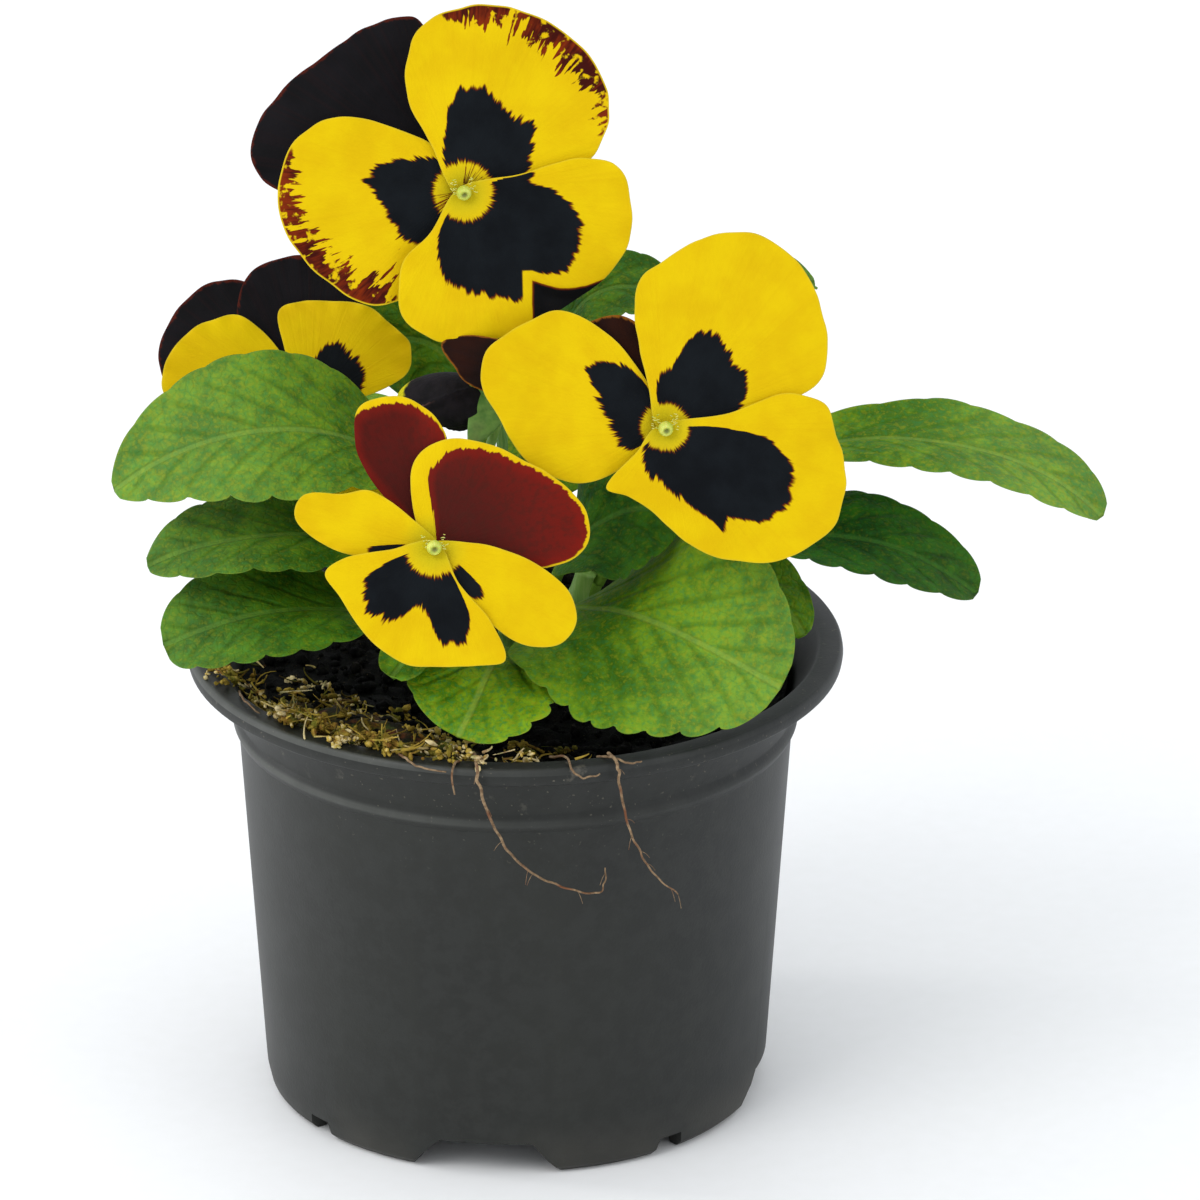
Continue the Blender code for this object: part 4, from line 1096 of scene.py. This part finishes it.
# ------------------------------------------------------------
# The throat of each flower: a round green stigma with a hollow in its front, between two tufts
# of pale hairs that stand on the side petals.
# ------------------------------------------------------------
knob = Finish("stigma", Specular_IOR_Level=0.5, Subsurface_Weight=0.15, Subsurface_Scale=0.001)
place = knob.place()
hollow, hair, _ = knob.parts(knob.stored("throat"))
shade = knob.mix(knob.noise(place, 700, 2).rise(0.3, 0.7), paint(176, 190, 60), paint(202, 208, 92))
# Painted shade: the hollow in the stigma's front is darkened.
shade = knob.mix(hollow.rise(0.1, 0.9), shade, paint(108, 112, 34))
shade = knob.mix(hair, shade, paint(222, 216, 122))
knob.shades(Base_Color=shade, Roughness=0.4 + 0.2 * hair)
knob.bump(knob.noise(place, 2400, 2), 0.0001, 0.5)
for flower, shape in FLOWERS.items():
    frame_here = face_frame(*shape)
    bm = bmesh.new()
    throat_layer = bm.verts.layers.float_vector.new("throat")
    for vertex in bmesh.ops.create_uvsphere(bm, u_segments=32, v_segments=20, radius=1)["verts"]:
        way = vertex.co.normalized()
        sunk = max(0, way.dot(Vector((0.1, -0.45, 0.88)).normalized()) - 0.72) / 0.28
        size = 1.35 - 0.75 * sunk ** 1.2
        vertex.co = frame_here @ (Vector((way.x * size, way.y * size - 0.2, way.z * size * 1.1 + 3.0)) * MM)
        vertex[throat_layer] = (sunk, 0, 0)
    for side in (-1, 1):
        for _ in range(12):
            start = Vector((side * dice.uniform(1.1, 2.5), dice.uniform(-0.6, 2.4), 2.6 if side > 0 else 1.6))
            way = Vector((-side * dice.uniform(0.3, 1), dice.uniform(-0.6, 0.5), dice.uniform(0.3, 0.9)))
            strand = [frame_here @ ((start + way * 0.22 * step) * MM) for step in range(4)]
            before = len(bm.verts)
            rod(bm, strand, lambda share: 0.00011 - 0.00006 * share, 4, (0.2, 0.3, 1))
            bm.verts.ensure_lookup_table()
            for vertex in bm.verts[before:]:
                vertex[throat_layer] = (0, 1, 0)
    made = add_piece(f"{flower}_throat", bm, knob)
    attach(made, "root")
    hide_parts(f"{flower}_flower_stigma")

# ------------------------------------------------------------
# Behind each flower: a green calyx of five pointed sepals, the blunt spur of the lip, and the
# bare stalk that climbs from a shoot and hooks over into the calyx.
# ------------------------------------------------------------
STALKS = {
    "top": ("back", ((-3, 11, 130), (-8, 10, 172))),
    "right": ("right", ((20, 0, 118), (29, -18, 140))),
    "low": ("front", ((-1, -24, 112), (-10, -36, 126))),
    "left": ("left", ((-20, 10, 114), (-34, 20, 124))),
}
BEHIND = -0.0037  # from the flower's middle layer back to its calyx


def star(bm, place, length, waist, front, back, sweep):
    """A five-pointed calyx: a thick middle, and thin ribbed sepals that sweep back."""
    stored = bm.verts.layers.float.get("tone") or bm.verts.layers.float.new("tone")
    for vertex in bmesh.ops.create_uvsphere(bm, u_segments=100, v_segments=24, radius=1)["verts"]:
        out = min(1, math.hypot(vertex.co.x, vertex.co.y))
        angle = math.atan2(vertex.co.y, vertex.co.x)
        sepal = max(0, math.cos(2.5 * angle)) ** 2 if out > 0 else 0
        reach = out * (waist + (length - waist) * sepal)
        thick = front if vertex.co.z > 0 else -back
        rise = thick * (1 - out) ** 0.5 + math.copysign(0.00015, vertex.co.z) * (1 - out ** 8)
        rise -= sweep * out * out + 0.0004 * sepal ** 6 * out
        vertex.co = place @ Vector((reach * math.cos(angle), reach * math.sin(angle), rise))
        vertex[stored] = sepal * out


sepal_green = Finish("sepal", Specular_IOR_Level=0.35)
place = sepal_green.place()
tone = sepal_green.stored("tone", "Fac")
mottle = sepal_green.noise(place, 500, 3, 0.6)
shade = sepal_green.mix(mottle.rise(0.3, 0.7), paint(76, 124, 50), paint(112, 152, 70))
shade = sepal_green.mix(tone.rise(0.5, 1.0) * 0.5, shade, paint(140, 168, 84))
shade = sepal_green.mix(sepal_green.noise(place, 180, 2).rise(0.55, 0.75) * 0.4, shade, paint(92, 78, 58))
sepal_green.shades(Base_Color=shade, Roughness=0.5 + 0.2 * mottle)
sepal_green.bump(mottle, 0.0003, 0.6)
for flower, (shoot, route) in STALKS.items():
    frame_here = face_frame(*FLOWERS[flower])
    bm = bmesh.new()
    cup = frame_here @ Matrix.Translation((0, 0, BEHIND)) @ Matrix.Rotation(math.pi / 2, 4, "Z")
    star(bm, cup, 0.011, 0.0035, 0.0008, 0.0042, 0.003)
    calyx = add_piece(f"{flower}_sepals", bm, sepal_green)
    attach(calyx, "root")
    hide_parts(f"{flower}_flower_calyx")

    bm = bmesh.new()
    hook = [Vector((0, -2.2 - 0.25 * step, -3.2 - 0.9 * step + 0.02 * step ** 2)) * MM for step in range(9)]
    hook = [frame_here @ point for point in hook]
    rod(bm, hook, lambda share: 0.0013 + 0.0003 * math.sin(3 * share) - 0.0004 * share ** 6, 20)
    spur = add_piece(f"{flower}_spur", bm, sepal_green)
    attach(spur, "root")

    start = shoot_ends(shoot)[1] - Vector((0, 0, 0.001))
    points = [start, start + Vector((0, 0, 0.005)), *(Vector(point) * MM for point in route)]
    into_calyx = [Vector((0, 0.0018, BEHIND - 0.0087)), Vector((0, 0.0005, BEHIND - 0.0036))]
    points += [frame_here @ point for point in into_calyx]
    bm = bmesh.new()
    rod(bm, smooth_route(points, 14), lambda share: 0.0011 - 0.0002 * share + 0.0002 * share ** 12, 16)
    stalk = add_piece(f"{flower}_stalk", bm, stem)
    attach(stalk, "root")
    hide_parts(f"{flower}_flower_stalk")

# ------------------------------------------------------------
# The bud: furled purple-black petals with a yellow tip, held by five sepals on a hooked stalk.
# It nods to the left between the flowers, and its stalk starts on the left shoot.
# ------------------------------------------------------------
BUD_MIDDLE = (-13, -12, 139)
bud_frame = Matrix.Translation(Vector(BUD_MIDDLE) * MM)
bud_frame = bud_frame @ Matrix.Rotation(math.radians(-90), 4, "Y") @ Matrix.Rotation(math.radians(-8), 4, "X")
furled = Finish("bud_petals", Specular_IOR_Level=0.1, Sheen_Weight=0.03)
place = furled.place()
tone = furled.stored("tone", "Fac")
fold, tipward, _ = furled.parts(furled.stored("fold"))
shade = furled.mix(furled.noise(place, 420, 3).rise(0.3, 0.7), paint(17, 15, 18), paint(31, 27, 31))
shade = furled.mix(fold.rise(0.93, 1.0) * tipward.rise(0.5, 0.7) * 0.7, shade, paint(150, 108, 100))
shade = furled.mix((tipward + furled.noise(place, 500, 2) * 0.2).rise(0.86, 0.95), shade, paint(206, 196, 24))
furled.shades(Base_Color=shade, Roughness=0.6 + 0.2 * fold)
furled.bump(furled.noise(place, 1500, 2), 0.0002, 0.6)
bm = bmesh.new()
fold_layer = bm.verts.layers.float_vector.new("fold")


def lay_bud(vertex, angle, share):
    wind = (angle / math.tau * 3 + share * 1.1) % 1
    height = -math.cos(math.pi * share)
    wide = math.sin(math.pi * share) * (1 - 0.25 * height) * (0.94 + 0.14 * wind ** 3)
    side = Vector((math.cos(angle) * wide * 5.2, math.sin(angle) * wide * 4.6, height * 8.2))
    vertex.co = bud_frame @ (side * MM)
    vertex[fold_layer] = (wind, share, 0)


spindle(bm, 96, 60, lay_bud)
bud = add_piece("furled_bud", bm, furled)
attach(bud, "root")
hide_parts("bud_petals")

bm = bmesh.new()
base = bud_frame @ Matrix.Translation((0, 0, -0.0098))
star(bm, base, 0.0085, 0.0032, 0.0008, 0.0025, -0.0045)
sepals = add_piece("bud_sepals", bm, sepal_green)
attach(sepals, "root")
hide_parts("bud_calyx")

route = [Vector(point) * MM for point in ((-6, -3, 118), (-2, -6, 136), (-1, -10, 142))]
foot = beside_shoot("left", 94, route[0], 0.0009)
ends = [base @ Vector((0, 0, -0.0065)), base @ Vector((0, 0, -0.0020))]
bm = bmesh.new()
rod(bm, smooth_route([foot, *route, *ends], 14), lambda share: 0.0009, 14, (0, 1, 0))
stalk = add_piece("bud_hooked_stalk", bm, stem)
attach(stalk, "root")
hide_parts("bud_stalk")

low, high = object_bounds()
